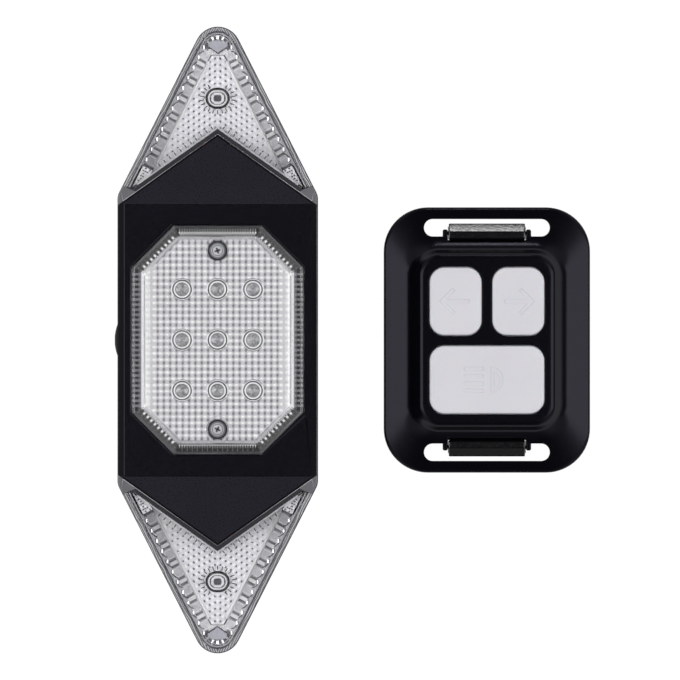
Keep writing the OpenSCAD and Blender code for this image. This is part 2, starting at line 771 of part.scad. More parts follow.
// The rear housing: floor, wall, thick rim with the seal's groove, and lip
module rear_housing() color([0.07, 0.07, 0.08]) {
    difference() {
        union() {
            difference() {
                slab(outline(), 0, parting_z);
                slab(outline(rear_wall), rear_floor, parting_z - rim_h);
                slab(outline(lip_in), rear_floor, parting_z + 1);
            }
            difference() {
                ring_slab(outline(lip_out), outline(lip_in), parting_z - eps, lip_z);
                // Gap in the lip under the V walls
                ring_slab(between_v(v_board), between_v(-front_wall - lip_gap), parting_z,
                    lip_z + 1);
            }
            rod(insert_r + insert_wall, rear_floor - eps, insert_l + insert_cap);
            four_ways(screw_x, screw_y)
                rod(screw_boss_r + boss_flare, rear_floor - eps, screw_boss_z);
            four_ways(board_post_x, board_post_y)
                rod(board_post_r, rear_floor - eps, board_z);
            for (s = [-1, 1]) translate([0, s * post_y, 0])
                rod(post_r + post_base, rear_floor - eps, post_z);
        }
        ring_slab(outline(groove_out), outline(lip_out), parting_z - seal_t, parting_z + 1);
        rod(insert_r + thread_gap, -1, insert_l);
        four_ways(screw_x, screw_y) {
            rod(screw_head_r + hole_gap, -1, counterbore_h);
            rod(screw_r + hole_gap, -1, screw_boss_z + 1);
        }
        for (s = [-1, 1]) translate([0, s * post_y, 0]) {
            rod(end_screw_head_r + hole_gap, -1, end_screw_z);
            rod(end_screw_r + hole_gap, -1, post_z + 1);
        }
        // Gaps in the lip for the power button and the charging port
        for (y = [0, port_y]) translate([y == 0 ? -half_w + front_in : half_w - lip_in - 1,
            y - cover_w / 2, parting_z]) cube([lip_in + 1 - front_in, cover_w, lip_h + 1]);
    }
}

// The front housing: face with the lens seat, side walls and V walls
module front_housing() color([0.08, 0.08, 0.09]) {
    difference() {
        union() {
            difference() {
                intersection() {
                    slab(outline(front_inset), parting_z, face_z + 1);
                    under_face();
                    inside_chamfer();
                    slab(between_v(), 0, face_z + 1);
                }
                intersection() {
                    slab(outline(front_in), parting_z - 1, face_z);
                    under_face(front_skin);
                    slab(between_v(-front_wall), 0, face_z);
                }
            }
            slab(cut_rect(2 * wall_in_x, opening_l + 2 * (ledge_w + ledge_margin), centre_cut),
                ledge_z, face_z - 1);
            four_ways(screw_x, screw_y) rod(screw_boss_r, screw_boss_z, face_z - 1);
        }
        slab(centre_outline(-seat_gap), seat_z, face_z + 1);
        slab(cut_rect(opening_w, opening_l, opening_cut), 0, face_z + 1);
        four_ways(screw_x, screw_y)
            rod(screw_r + thread_gap, 0, counterbore_h + screw_l + 1);
        lead_notch();
        lower_end() lead_notch();
        // Charging port with the recess of its cover
        translate([wall_in_x - 1, port_y, port_z])
            side_slot(port_w + 2 * plug_gap, port_h + 2 * plug_gap, 4);
        translate([wall_out_x - cover_t, port_y, port_z])
            side_slot(cover_w + 2 * cover_gap, cover_h + 2 * cover_gap, 4);
        // Power button
        translate([-wall_out_x - 1, 0, port_z])
            side_slot(power_w + 2 * cover_gap, power_h + 2 * cover_gap, 4);
    }
}

// A rounded bar along X, w wide in Y and h high in Z
module side_slot(w, h, l) {
    rotate([90, 0, 90]) linear_extrude(l) polygon(round_rect(w, h, h / 2 - eps));
}

module housing_seal() color([0.2, 0.2, 0.21])
    ring_slab(outline(groove_out + seal_gap), outline(lip_out - seal_gap),
        parting_z - seal_t, parting_z);

// A pan head screw that points up, with its head's seat at height z
module screw(r, head_r, head_h, l, z) {
    difference() {
        union() {
            rod(r, z - eps, z + l);
            rod(head_r, z - head_h, z);
        }
        for (a = [0, 90]) rotate([0, 0, a])
            translate([-head_r * 0.6, -head_r * 0.13, z - head_h - 1])
                cube([head_r * 1.2, head_r * 0.26, 1 + head_h * 0.6]);
    }
}

module housing_screws() color([0.35, 0.35, 0.37])
    four_ways(screw_x, screw_y)
        screw(screw_r, screw_head_r, screw_head_h, screw_l, counterbore_h);

// Threaded insert for the bracket's bolt
module bracket_insert() color([0.8, 0.62, 0.3])
    difference() {
        rod(insert_r, 0, insert_l);
        rod(insert_bore_r, -1, insert_l + 1);
        translate([0, 0, (insert_l - insert_groove_w) / 2]) difference() {
            cylinder(r = insert_r + 1, h = insert_groove_w);
            translate([0, 0, -1]) cylinder(r = insert_r - insert_groove_d, h = 3);
        }
    }

// A clear arrowhead cup with its screw post
module end_lens() color([0.82, 0.84, 0.88, 0.5]) {
    difference() {
        union() {
            difference() {
                intersection() {
                    slab(outline(front_inset), parting_z, face_z + 1);
                    under_face();
                    inside_chamfer();
                    slab(beyond_v(v_gap), 0, face_z + 1);
                }
                intersection() {
                    slab(outline(front_inset + lens_wall), parting_z - 1, face_z);
                    under_face(lens_top);
                    slab(beyond_v(v_gap + lens_v_wall), 0, face_z);
                }
            }
            intersection() {
                translate([0, post_y, 0]) rod(post_r, post_z, face_z);
                under_face(lens_top / 2);
            }
        }
        translate([0, post_y, 0])
            rod(end_screw_r + thread_gap, 0, end_screw_z + end_screw_l + 1);
        lead_notch();
    }
}

// The dotted panel behind an end lens, on a low wall of its own
module end_reflector() color([0.86, 0.87, 0.9]) {
    difference() {
        intersection() {
            slab(outline(panel_inset), end_board_top_z, panel_top_z);
            slab(beyond_v(v_board), end_board_top_z, panel_top_z);
            translate([-half_w, 0, 0]) cube([light_w, panel_tip_y, face_z]);
        }
        difference() {
            intersection() {
                slab(outline(panel_inset + panel_wall), 0, panel_top_z - panel_t);
                slab(beyond_v(v_board + panel_wall), 0, panel_top_z - panel_t);
                translate([-half_w, 0, 0]) cube([light_w, panel_tip_y - panel_wall, face_z]);
            }
            translate([0, post_y, 0]) rod(post_r + post_gap + panel_wall, 0, face_z);
        }
        translate([0, post_y, 0]) rod(post_r + post_gap, 0, face_z);
        translate([-lead_x - lead_pitch / 2 - lead_notch_w / 2, v_foot_y, 0])
            cube([lead_notch_w, v_apex_y + 6 - v_foot_y, panel_top_z - panel_t]);
    }
}

module end_board() color([0.9, 0.9, 0.88])
    difference() {
        intersection() {
            slab(outline(front_inset + lens_wall + end_board_gap), lip_z, end_board_top_z);
            slab(beyond_v(v_board), lip_z, end_board_top_z);
        }
        translate([0, post_y, 0]) rod(post_r + post_gap, 0, face_z);
    }

// Diodes in a row along each taper
module end_leds() color([0.93, 0.9, 0.75]) {
    foot = end_led_inset * tan(taper_a / 2);
    pitch = (taper_l - foot - end_led_from_tip - end_led_from_foot) / (end_led_count - 1);
    for (s = [-1, 1]) for (i = [0:end_led_count - 1])
        mirror([s < 0 ? 1 : 0, 0, 0])
            translate([half_w - end_led_inset, side_half_l - foot, 0]) rotate([0, 0, taper_a])
                translate([-end_led_w / 2, end_led_from_foot + i * pitch - end_led_l / 2,
                    end_board_top_z])
                    cube([end_led_w, end_led_l, end_led_h]);
}

module end_lens_screws() color([0.6, 0.6, 0.62])
    for (s = [-1, 1]) translate([0, s * post_y, 0])
        screw(end_screw_r, end_screw_head_r, end_screw_head_h, end_screw_l, end_screw_z);

// The clear centre lens: flange, sloping border and raised field
module centre_lens() color([0.85, 0.86, 0.9, 0.5]) {
    difference() {
        union() {
            difference() {
                loft([
                    [centre_outline(), flange_z],
                    [centre_outline(), field_foot_z],
                    [centre_outline(centre_bevel), field_z]
                ]);
                loft([
                    [centre_outline(ledge_w + border_wall), flange_z - 1],
                    [centre_outline(ledge_w + border_wall), field_foot_z - border_foot],
                    [centre_outline(centre_bevel + border_wall), field_z - centre_t]
                ]);
            }
            for (s = [-1, 1]) translate([0, s * centre_screw_y, 0])
                rod(centre_bore_r + centre_post_wall, web_z, field_z - centre_t / 2);
        }
        for (s = [-1, 1]) translate([0, s * centre_screw_y, 0]) {
            rod(centre_bore_r, centre_screw_z, field_z + 1);
            rod(centre_screw_r + hole_gap, 0, field_z);
        }
    }
}

module centre_lens_seal() color([0.25, 0.25, 0.26])
    ring_slab(centre_outline(), centre_outline(ledge_w - seat_gap), seat_z, flange_z);

module centre_lens_screws() color([0.6, 0.6, 0.62])
    for (s = [-1, 1]) translate([0, s * centre_screw_y, centre_screw_z]) mirror([0, 0, 1])
        screw(centre_screw_r, centre_screw_head_r, centre_screw_head_h, centre_screw_l, 0);

// The tray round the centre diodes, clamped under the lens's ledge
module centre_reflector() color([0.9, 0.91, 0.93]) {
    wall_w = opening_w - 2 * tray_gap;
    wall_l = opening_l - 2 * tray_gap;
    bore_z = centre_screw_end_z - sleeve_end_gap;
    difference() {
        union() {
            slab(cut_rect(opening_w + 2 * reflector_lap, opening_l + 2 * reflector_lap,
                opening_cut), ledge_z - reflector_t, ledge_z);
            slab(cut_rect(wall_w, wall_l, opening_cut), reflector_z, ledge_z);
            four_ways(wall_w / 2 - tray_leg_edge, wall_l / 2 - opening_cut - tray_leg_edge)
                rod(tray_leg_r, board_top_z, reflector_z + eps);
        }
        difference() {
            slab(cut_rect(wall_w - 2 * reflector_t, wall_l - 2 * reflector_t,
                opening_cut - 0.5858 * reflector_t), reflector_z + reflector_t, face_z);
            for (s = [-1, 1]) translate([0, s * centre_screw_y, 0]) rod(sleeve_r, 0, face_z);
        }
        centre_led_places() rod(led_r + led_gap, 0, face_z);
        for (s = [-1, 1]) translate([0, s * centre_screw_y, 0])
            rod(centre_screw_r + thread_gap, bore_z, face_z);
    }
    for (s = [-1, 1]) translate([0, s * centre_screw_y, 0]) difference() {
        rod(sleeve_r, bore_z - sleeve_floor, web_z);
        rod(centre_screw_r + thread_gap, bore_z, face_z);
    }
}

module centre_led_places() {
    for (i = [-1:1]) for (j = [-1:1])
        translate([i * led_pitch_x, j * led_pitch_y, 0]) children();
}

// Round diodes with a foot and a dome
module centre_leds() color([0.9, 0.9, 0.92])
    centre_led_places() translate([0, 0, board_top_z])
        rotate_extrude() polygon(concat(
            [[0, 0], [led_foot_r, 0], [led_foot_r, led_foot_h], [led_r, led_foot_h]],
            arc([0, led_h - led_r], led_r, 0, 90, 6)
        ));

module main_board() color([0.1, 0.35, 0.18])
    difference() {
        slab(round_rect(board_w, board_l, 2), board_z, board_top_z);
        for (s = [-1, 1]) translate([0, s * centre_screw_y, 0])
            rod(sleeve_r + sleeve_gap, 0, face_z);
    }

// Radio module with its metal can, under the main board
module radio_module() color([0.15, 0.3, 0.5])
    translate([0, -insert_r - insert_wall - radio_l / 2, 0]) {
        board_low_z = board_z - radio_board_t;
        slab(round_rect(radio_w, radio_l, 0.5), board_low_z, board_z);
        slab(round_rect(radio_w - 2 * radio_border, radio_l - 2 * radio_border, 0.5),
            board_low_z - radio_can_h, board_low_z + eps);
    }

module battery_cell() color([0.65, 0.68, 0.72])
    translate([0, battery_y + battery_l / 2, 0])
        slab(round_rect(battery_w, battery_l, 1.5), rear_floor, rear_floor + battery_t);

// Routes of the leads, as points of Y and Z
under_board = board_z - lead_r;
over_board = end_board_top_z + lead_r;
end_route = [[24, under_board], [31, under_board], [45, over_board + 0.5],
    [54, over_board + 0.4], [57.5, over_board], [59.5, over_board]];
battery_end = battery_y + battery_l;
battery_route = [[battery_end, 6.5], [battery_end + 1.2, 6.5], [battery_end + 2.8, 7.8],
    [battery_end + 3.2, 10], [battery_end + 1.6, 12.4], [battery_end - 2, under_board],
    [26, under_board]];

module red_leads() color([0.75, 0.1, 0.1]) {
    lead(-lead_x, end_route);
    lower_end() lead(-lead_x, end_route);
    lead(lead_x - lead_pitch, battery_route);
}

module black_leads() color([0.05, 0.05, 0.05]) {
    lead(-lead_x - lead_pitch, end_route);
    lower_end() lead(-lead_x - lead_pitch, end_route);
    lead(lead_x + lead_pitch, battery_route);
}

// Metal shell with a tongue, on the main board's underside
module charging_port() color([0.75, 0.76, 0.78])
    translate([wall_in_x - idle_gap - port_d, port_y, port_z]) {
        difference() {
            side_slot(port_w, port_h, port_d);
            translate([port_back, 0, 0])
                side_slot(port_w - 2 * port_shell, port_h - 2 * port_shell, port_d);
        }
        translate([eps, tongue_side - port_w / 2, -tongue_t / 2])
            cube([port_d - 1, port_w - 2 * tongue_side, tongue_t]);
    }

// Rubber cover that plugs the port
module port_cover() color([0.06, 0.06, 0.065]) translate([0, port_y, port_z]) {
    translate([wall_out_x - cover_t, 0, 0]) side_slot(cover_w, cover_h, cover_t);
    translate([wall_in_x, 0, 0]) side_slot(port_w - 2 * plug_gap, port_h - 2 * plug_gap,
        wall_out_x - cover_t - wall_in_x + eps);
}

// Side button with the flange that keeps it in the wall
module power_button() color([0.05, 0.05, 0.055]) translate([0, 0, port_z]) {
    translate([-power_out_x, 0, 0])
        side_slot(power_w, power_h, power_out_x - wall_in_x + idle_gap + eps);
    translate([-wall_in_x + idle_gap, 0, 0])
        side_slot(power_w + 2 * power_flange, power_h + 2 * power_flange, power_flange_t);
}

// Side switch: body on the board's underside, plunger towards the button
module power_switch() color([0.6, 0.6, 0.58]) {
    translate([-board_w / 2 - switch_out, -switch_l / 2, board_z - switch_h])
        cube([switch_d, switch_l, switch_h]);
    translate([-plunger_x, -plunger_w / 2, port_z - plunger_h / 2])
        cube([plunger_x - board_w / 2 + eps, plunger_w, plunger_h]);
}

// The remote's front shell: skirt, raised block, slots and ears
module remote_front_shell() color([0.07, 0.07, 0.08]) at_remote() {
    edge = round_rect(remote_w, remote_l, remote_r);
    top_w = block_w - block_taper_w;
    top_l = block_l - block_taper_l;
    top_r = block_r - block_taper_l / 2;
    difference() {
        union() {
            difference() {
                loft([
                    [edge, rear_top_z],
                    [edge, skirt_z],
                    [round_rect(block_w, block_l, block_r), block_foot_z],
                    [round_rect(top_w + 2 * block_edge, top_l + 2 * block_edge, top_r + block_edge),
                        block_top_z - block_edge],
                    [round_rect(top_w, top_l, top_r), block_top_z]
                ]);
                for (s = [-1, 1]) {
                    translate([0, s * (slot_y + slot_h / 2), 0])
                        slab(round_rect(slot_w, slot_h, slot_h / 2 - eps), 0, block_top_z);
                    translate([-ear_x, s * slot_y - notch_d, rear_top_z + notch_ledge_h])
                        cube([2 * ear_x, 2 * notch_d, block_top_z]);
                    translate([-ear_x, s * slot_y - ledge_d, 0])
                        cube([2 * ear_x, 2 * ledge_d, block_top_z]);
                }
            }
            for (sx = [-1, 1]) for (sy = [-1, 1])
                translate([sx * (ear_x + ear_w / 2) - ear_w / 2,
                    sy * (slot_y + ear_reach / 2 - 0.25) - ear_reach / 2 - 0.25, rear_top_z])
                    cube([ear_w, ear_reach + 0.5, ear_h]);
        }
        slab(round_rect(cavity_w, cavity_l, cavity_r), 0, skin_z);
        for (s = [-1, 1]) {
            translate([s * arrow_x, arrow_y, 0])
                button_slab(arrow_w, button_l, button_gap, skin_z - 1, block_top_z + 1);
            translate([-ear_x - ear_w - 1, s * pin_y, pin_z]) rotate([0, 90, 0])
                cylinder(r = pin_r + pin_fit, h = 2 * (ear_x + ear_w + 1));
        }
        translate([0, -mode_y, 0])
            button_slab(mode_w, button_l, button_gap, skin_z - 1, block_top_z + 1);
        four_ways(remote_screw_x, remote_screw_y)
            rod(remote_screw_r + thread_gap, 0, remote_seat_z + remote_screw_l + 2 * hole_gap);
    }
}

// A slab with a button's outline, grown by g
module button_slab(w, l, g, z0, z1) {
    slab(round_rect(w + 2 * g, l + 2 * g, button_r + g), z0, z1);
}

// The remote's rear cover: tray with board posts and the seal's groove
module remote_rear_cover() color([0.06, 0.06, 0.07]) at_remote() {
    difference() {
        union() {
            difference() {
                slab(round_rect(rear_cover_w, rear_cover_l, cavity_r), pad_t, rear_top_z);
                slab(round_rect(cavity_w, cavity_l, cavity_r), rear_floor_z, rear_top_z + 1);
            }
            four_ways(cavity_w / 2 - remote_post_edge, cavity_l / 2 - remote_post_edge)
                rod(remote_post_r, rear_floor_z - eps, remote_board_z);
        }
        remote_seal_ring(0);
        four_ways(remote_screw_x, remote_screw_y) {
            rod(remote_screw_head_r + remote_head_gap, 0, remote_seat_z);
            rod(remote_screw_r + remote_hole_gap, 0, rear_top_z + 1);
        }
    }
}

// The ring of the remote's seal; gap is taken off both sides
module remote_seal_ring(gap) {
    out = 2 * (remote_seal_land + remote_seal_w + 0.1 - gap);
    in = 2 * (remote_seal_land + gap);
    ring_slab(round_rect(cavity_w + out, cavity_l + out, cavity_r + out / 2),
        round_rect(cavity_w + in, cavity_l + in, cavity_r + in / 2),
        rear_top_z - remote_seal_w, gap > 0 ? rear_top_z : rear_top_z + 1);
}

module remote_seal() color([0.3, 0.3, 0.31]) at_remote() remote_seal_ring(0.05);

module remote_screws() color([0.4, 0.4, 0.42]) at_remote()
    four_ways(remote_screw_x, remote_screw_y)
        screw(remote_screw_r, remote_screw_head_r, remote_screw_head_h, remote_screw_l,
            remote_seat_z);

// Rubber pad with the groove for a handlebar
module saddle_pad() color([0.12, 0.12, 0.12]) at_remote()
    difference() {
        slab(round_rect(cavity_w - 2 * pad_inset, cavity_l - 2 * pad_inset, cavity_r), 0, pad_t);
        translate([-remote_w / 2, 0, groove_h - bar_r]) rotate([0, 90, 0])
            cylinder(r = bar_r, h = remote_w);
    }

// A button: hidden flange, cap and bevelled top
module button(w, l) {
    top = block_top_z + button_proud;
    button_slab(w, l, button_flange, key_flange_z, key_flange_z + button_flange_t);
    loft([
        [round_rect(w, l, button_r), key_flange_z + button_flange_t - eps],
        [round_rect(w, l, button_r), top - button_bevel * 0.6],
        [round_rect(w - 2 * button_bevel, l - 2 * button_bevel, button_r - button_bevel), top]
    ]);
}

// A sign's stroke between two points
module stroke(a, b) {
    d = b - a;
    translate([a[0], a[1], block_top_z + button_proud - sign_h])
        rotate([0, 0, atan2(d[1], d[0])])
            translate([0, -sign_stroke / 2, 0]) cube([norm(d), sign_stroke, 1]);
}

// An engraved arrow that points to +X
module arrow_sign() {
    tip = arrow_sign_l / 2;
    wing = arrow_sign_w / 2;
    stroke([-tip, 0], [tip, 0]);
    for (s = [-1, 1]) stroke([tip - wing, s * wing], [tip + 0.3, -s * 0.3]);
}

// An engraved lamp with four beams
module lamp_sign() {
    r = lamp_sign_h / 2;
    z = block_top_z + button_proud - sign_h;
    translate([1, 0, z]) linear_extrude(1) intersection() {
        difference() {
            circle(r = r);
            circle(r = r - sign_stroke);
        }
        translate([0, -r]) square(2 * r);
    }
    stroke([1 + sign_stroke / 2, -r], [1 + sign_stroke / 2, r]);
    for (i = [0:3]) let(y = (i - 1.5) * (lamp_sign_h - sign_stroke) / 3)
        stroke([1 - lamp_gap - lamp_beam_l, y], [1 - lamp_gap, y]);
}

module arrow_button(s) color([0.83, 0.83, 0.85]) at_remote()
    translate([s * arrow_x, arrow_y, 0]) difference() {
        button(arrow_w, button_l);
        mirror([s < 0 ? 1 : 0, 0, 0]) arrow_sign();
    }

module mode_button() color([0.83, 0.83, 0.85]) at_remote()
    translate([0, -mode_y, 0]) difference() {
        button(mode_w, button_l);
        lamp_sign();
    }

// Rubber web round the buttons' flanges, under the block's top
module keypad_web() color([0.25, 0.25, 0.26]) at_remote()
    difference() {
        slab(inside_outline(web_gap), key_flange_z, skin_z);
        for (s = [-1, 1]) translate([s * arrow_x, arrow_y, 0])
            button_slab(arrow_w, button_l, button_flange + web_button_gap, 0, block_top_z);
        translate([0, -mode_y, 0])
            button_slab(mode_w, button_l, button_flange + web_button_gap, 0, block_top_z);
    }

// The outline of the remote's inside, set in by d
function inside_outline(d) = round_rect(cavity_w - 2 * d, cavity_l - 2 * d, cavity_r - d);

module remote_board() color([0.1, 0.35, 0.18]) at_remote()
    slab(inside_outline(remote_board_gap), remote_board_z, remote_board_top_z);

module remote_switches() color([0.55, 0.55, 0.57]) at_remote()
    for (p = [[-arrow_x, arrow_y], [arrow_x, arrow_y], [0, -mode_y]])
        translate([p[0], p[1], 0]) {
            slab(round_rect(key_side, key_side, 0.5), remote_board_top_z,
                remote_board_top_z + key_h);
            rod(key_r, remote_board_top_z + key_h - eps, key_top_z);
        }

module remote_chip() color([0.1, 0.1, 0.11]) at_remote()
    translate([-chip_side / 2, -chip_side / 2, remote_board_top_z])
        cube([chip_side, chip_side, chip_h]);

module coin_cell() color([0.78, 0.78, 0.8]) at_remote()
    rod(cell_r, cell_z, remote_board_z);

// Bent strip that holds the coin cell under the board
module cell_clip() color([0.8, 0.8, 0.75]) at_remote() {
    x = cell_r + clip_gap;
    t = clip_t;
    foot = x + t + clip_foot;
    top = remote_board_z;
    along_y([[-x - t, cell_z - t], [x + t, cell_z - t], [x + t, top - t], [foot, top - t],
        [foot, top], [x, top], [x, cell_z], [-x, cell_z], [-x, top], [-foot, top],
        [-foot, top - t], [-x - t, top - t]], -clip_w / 2, clip_w / 2);
}

// A strap hook that hangs on its pin: cap, plate and lip
module strap_hook() color([0.1, 0.1, 0.11]) {
    plate = [[-hook_in, hook_up - 0.6], [-hook_in, hook_up - 1.6], [-hook_t, -0.6],
        [-hook_t, 0.4 - hook_down], [0.4 - hook_t, -hook_down], [hook_in, -hook_down],
        [hook_in, hook_t - 0.1 - hook_down], [0.1, hook_t - 0.1 - hook_down], [0.1, -1.4],
        [hook_out, -0.1], [hook_out, 0.6], [0.3, hook_up], [0.5 - hook_in, hook_up]];
    at_remote() translate([0, pin_y, pin_z]) difference() {
        along_x(plate, -hook_w / 2, hook_w / 2);
        translate([-hook_w / 2 - 1, 0, 0]) rotate([0, 90, 0])
            cylinder(r = pin_r + pin_run, h = hook_w + 2);
    }
}

module hook_pins() color([0.6, 0.6, 0.62]) at_remote()
    for (s = [-1, 1]) translate([-ear_x - ear_w, s * pin_y, pin_z]) rotate([0, 90, 0])
        cylinder(r = pin_r, h = 2 * (ear_x + ear_w));

rear_housing();
front_housing();
housing_seal();
housing_screws();
bracket_insert();
end_lens();  // end_lens_upper
lower_end() end_lens();  // end_lens_lower
end_reflector();  // end_reflector_upper
lower_end() end_reflector();  // end_reflector_lower
end_board();  // end_board_upper
lower_end() end_board();  // end_board_lower
end_leds();  // end_leds_upper
lower_end() end_leds();  // end_leds_lower
end_lens_screws();
centre_lens();
centre_lens_seal();
centre_lens_screws();
centre_reflector();
centre_leds();
main_board();
radio_module();
battery_cell();
red_leads();
black_leads();
charging_port();
port_cover();
power_button();
power_switch();
remote_front_shell();
remote_rear_cover();
remote_seal();
remote_screws();
saddle_pad();
arrow_button(-1);  // left_button
arrow_button(1);  // right_button
mode_button();
keypad_web();
remote_board();
remote_switches();
remote_chip();
coin_cell();
cell_clip();
strap_hook();  // strap_hook_upper
at_remote() mirror([0, 1, 0])  // strap_hook_lower
    translate([-remote_x, 0, 0]) strap_hook();
hook_pins();
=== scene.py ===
# %% [markdown]
# # A bicycle turn signal light and its handlebar remote
#
# The object is a flat black light with two clear arrow-shaped ends and a clear eight-sided lens in
# the middle, and beside it the small remote that is strapped to a handlebar. The sizes come from a
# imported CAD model, which this script loads as a fixed frame. What Blender adds is the look: rounded
# moulded edges, prisms, diodes behind clear plastic, and the finish of every surface.
#
# All numbers for shapes are in millimetres and are turned into metres when a mesh is made.

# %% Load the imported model
from math import asin, atan, cos, hypot, pi, radians, sin, tan

import bmesh
import bpy
from mathutils import Matrix, Vector


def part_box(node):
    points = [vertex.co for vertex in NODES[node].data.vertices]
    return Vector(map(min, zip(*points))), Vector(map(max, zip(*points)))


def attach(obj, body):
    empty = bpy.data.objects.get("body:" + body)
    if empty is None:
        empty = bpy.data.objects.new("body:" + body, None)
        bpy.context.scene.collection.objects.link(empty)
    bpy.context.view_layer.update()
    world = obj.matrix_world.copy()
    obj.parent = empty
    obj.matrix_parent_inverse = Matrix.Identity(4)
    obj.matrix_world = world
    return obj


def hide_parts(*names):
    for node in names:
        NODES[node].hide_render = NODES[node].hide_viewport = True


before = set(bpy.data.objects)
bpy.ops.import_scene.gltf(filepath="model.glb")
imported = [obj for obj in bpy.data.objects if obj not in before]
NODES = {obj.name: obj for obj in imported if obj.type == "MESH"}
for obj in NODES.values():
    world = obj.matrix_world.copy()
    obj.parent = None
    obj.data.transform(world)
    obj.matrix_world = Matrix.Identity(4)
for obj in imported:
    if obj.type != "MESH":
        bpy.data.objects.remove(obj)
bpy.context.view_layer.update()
MM = 0.001

# %% [markdown]
# ## Camera, floor and light
#
# The photograph looks straight down on both pieces, and the high lens and the low rim have the
# same scale in it. A very long lens from eight metres away gives the same flat view. The studio has
# two large soft boxes at the sides, which make the remote's side slopes lighter than its ends, and
# one small strip low beyond the remote's upper end, which shines on the upper strap hook. Black
# plastic mirrors whatever is above it, so the sky of this studio is dark in a band overhead and
# towards the two ends, and bright to the left and right, except low down near the horizon.

# %% Camera straight above
CAMERA_HEIGHT = 8.187
camera_data = bpy.data.cameras.new("camera")
camera_data.lens = 1600
camera_data.sensor_width = 36
camera_data.clip_end = 20
camera = bpy.data.objects.new("camera", camera_data)
camera.location = (0.03316, 0.0, CAMERA_HEIGHT + 0.02)
bpy.context.scene.collection.objects.link(camera)
bpy.context.scene.camera = camera
bpy.context.scene.view_settings.view_transform = "Standard"


# %% One function that adds a node, and one that turns a hex colour to linear light
# The node for sums, which every formula below is made of
MATHS = "ShaderNodeMath"


def put(tree, kind, inputs=None, **settings):
    """Adds a node. settings are its own properties; inputs are its sockets, each given a value,
    another node's socket to link to, or a node, of which the first socket is then linked."""
    node = tree.nodes.new(kind)
    for name, value in settings.items():
        setattr(node, name, value)
    for name, value in (inputs or {}).items():
        if isinstance(value, bpy.types.Node):
            value = value.outputs[0]
        if isinstance(value, bpy.types.NodeSocket):
            tree.links.new(value, node.inputs[name])
        else:
            node.inputs[name].default_value = value
    return node


def linear(code):
    """The linear colour of an sRGB hex code."""
    parts = [int(code[i:i + 2], 16) / 255 for i in (1, 3, 5)]
    return (*[v / 12.92 if v <= 0.04045 else ((v + 0.055) / 1.055) ** 2.4 for v in parts], 1.0)


# %% The studio's sky: dark overhead, bright at the sides, white for the camera
SKY_DARK, SKY_SIDE, SKY_LOW, SKY_END = 0.05, 0.64, 0.18, 0.18
world = bpy.data.worlds.new("studio")
bpy.context.scene.world = world
world.use_nodes = True
tree = world.node_tree
tree.nodes.clear()
direction = put(tree, "ShaderNodeTexCoord").outputs["Generated"]
towards = put(tree, "ShaderNodeSeparateXYZ", {0: direction}).outputs
side, end = [put(tree, MATHS, {0: towards[axis]}, operation="ABSOLUTE") for axis in "XY"]
low = put(tree, "ShaderNodeMapRange", {0: side, 1: 0.8, 2: 0.97, 3: 1.0, 4: SKY_LOW / SKY_SIDE},
          interpolation_type="SMOOTHSTEP")
side = put(tree, "ShaderNodeMapRange", {0: side, 1: 0.15, 2: 0.5, 3: SKY_DARK, 4: SKY_SIDE},
           interpolation_type="SMOOTHSTEP")
end = put(tree, "ShaderNodeMapRange", {0: end, 1: 0.5, 2: 0.95, 3: 0.0, 4: SKY_END})
level = put(tree, MATHS, {0: side, 1: low, 2: end}, operation="MULTIPLY_ADD")
sky = put(tree, "ShaderNodeBackground", {"Color": (1, 1, 1, 1), "Strength": level})
white = put(tree, "ShaderNodeBackground", {"Color": (1, 1, 1, 1), "Strength": 1.0})
seen = put(tree, "ShaderNodeLightPath").outputs["Is Camera Ray"]
put(tree, "ShaderNodeOutputWorld",
    {0: put(tree, "ShaderNodeMixShader", {0: seen, 1: sky, 2: white})})


# %% Soft boxes
def soft_box(name, place, size, radiance):
    """An area light at place, in metres, that faces the object. radiance is its brightness."""
    data = bpy.data.lights.new(name, "AREA")
    data.shape = "RECTANGLE"
    data.size, data.size_y = size
    data.energy = 4 * radiance * size[0] * size[1]
    box = bpy.data.objects.new(name, data)
    box.location = place
    aim = Vector((0.0333, 0, 0)) - Vector(place)
    box.rotation_mode = "QUATERNION"
    box.rotation_quaternion = aim.to_track_quat("-Z", "Y")
    bpy.context.scene.collection.objects.link(box)


soft_box("soft_box_left", (-0.72, 0, 1.0), (0.55, 1.3), 1.85)
soft_box("soft_box_right", (0.79, 0, 1.0), (0.55, 1.3), 1.85)
soft_box("strip_upper", (0.079, 1.1, 0.63), (0.14, 0.14), 8.0)


# %% Objects from points and faces
def link_mesh(name, mesh):
    """An object in the scene that shows a mesh."""
    obj = bpy.data.objects.new(name, mesh)
    bpy.context.scene.collection.objects.link(obj)
    return obj


def from_points(name, points, faces):
    """An object from points in millimetres and faces that list them, with its faces outwards."""
    mesh = bpy.data.meshes.new(name)
    mesh.from_pydata([Vector(p) * MM for p in points], [], faces)
    shell = bmesh.new()
    shell.from_mesh(mesh)
    bmesh.ops.recalc_face_normals(shell, faces=shell.faces)
    shell.to_mesh(mesh)
    shell.free()
    return link_mesh(name, mesh)


FLOOR_REACH, FLOOR_Z = 6000, -0.05
floor = from_points("floor", [(x * FLOOR_REACH, y * FLOOR_REACH, FLOOR_Z)
                              for x, y in ((-1, -1), (1, -1), (1, 1), (-1, 1))], [(0, 1, 2, 3)])

# %% [markdown]
# The floor is paper that the photograph shows as pure white. Rays from the camera see mostly a
# white glow, and so do rays that reach it by a mirror or through clear plastic. The rest is plain
# white paper, so the object's soft shadow stays.

# %% Paper floor
PAPER_GLOW = 0.94


def new_finish(name):
    """A material with an empty node tree, the tree, and the socket of its Object coordinates."""
    material = bpy.data.materials.new(name)
    material.use_nodes = True
    tree = material.node_tree
    tree.nodes.clear()
    return material, tree, put(tree, "ShaderNodeTexCoord").outputs["Object"]


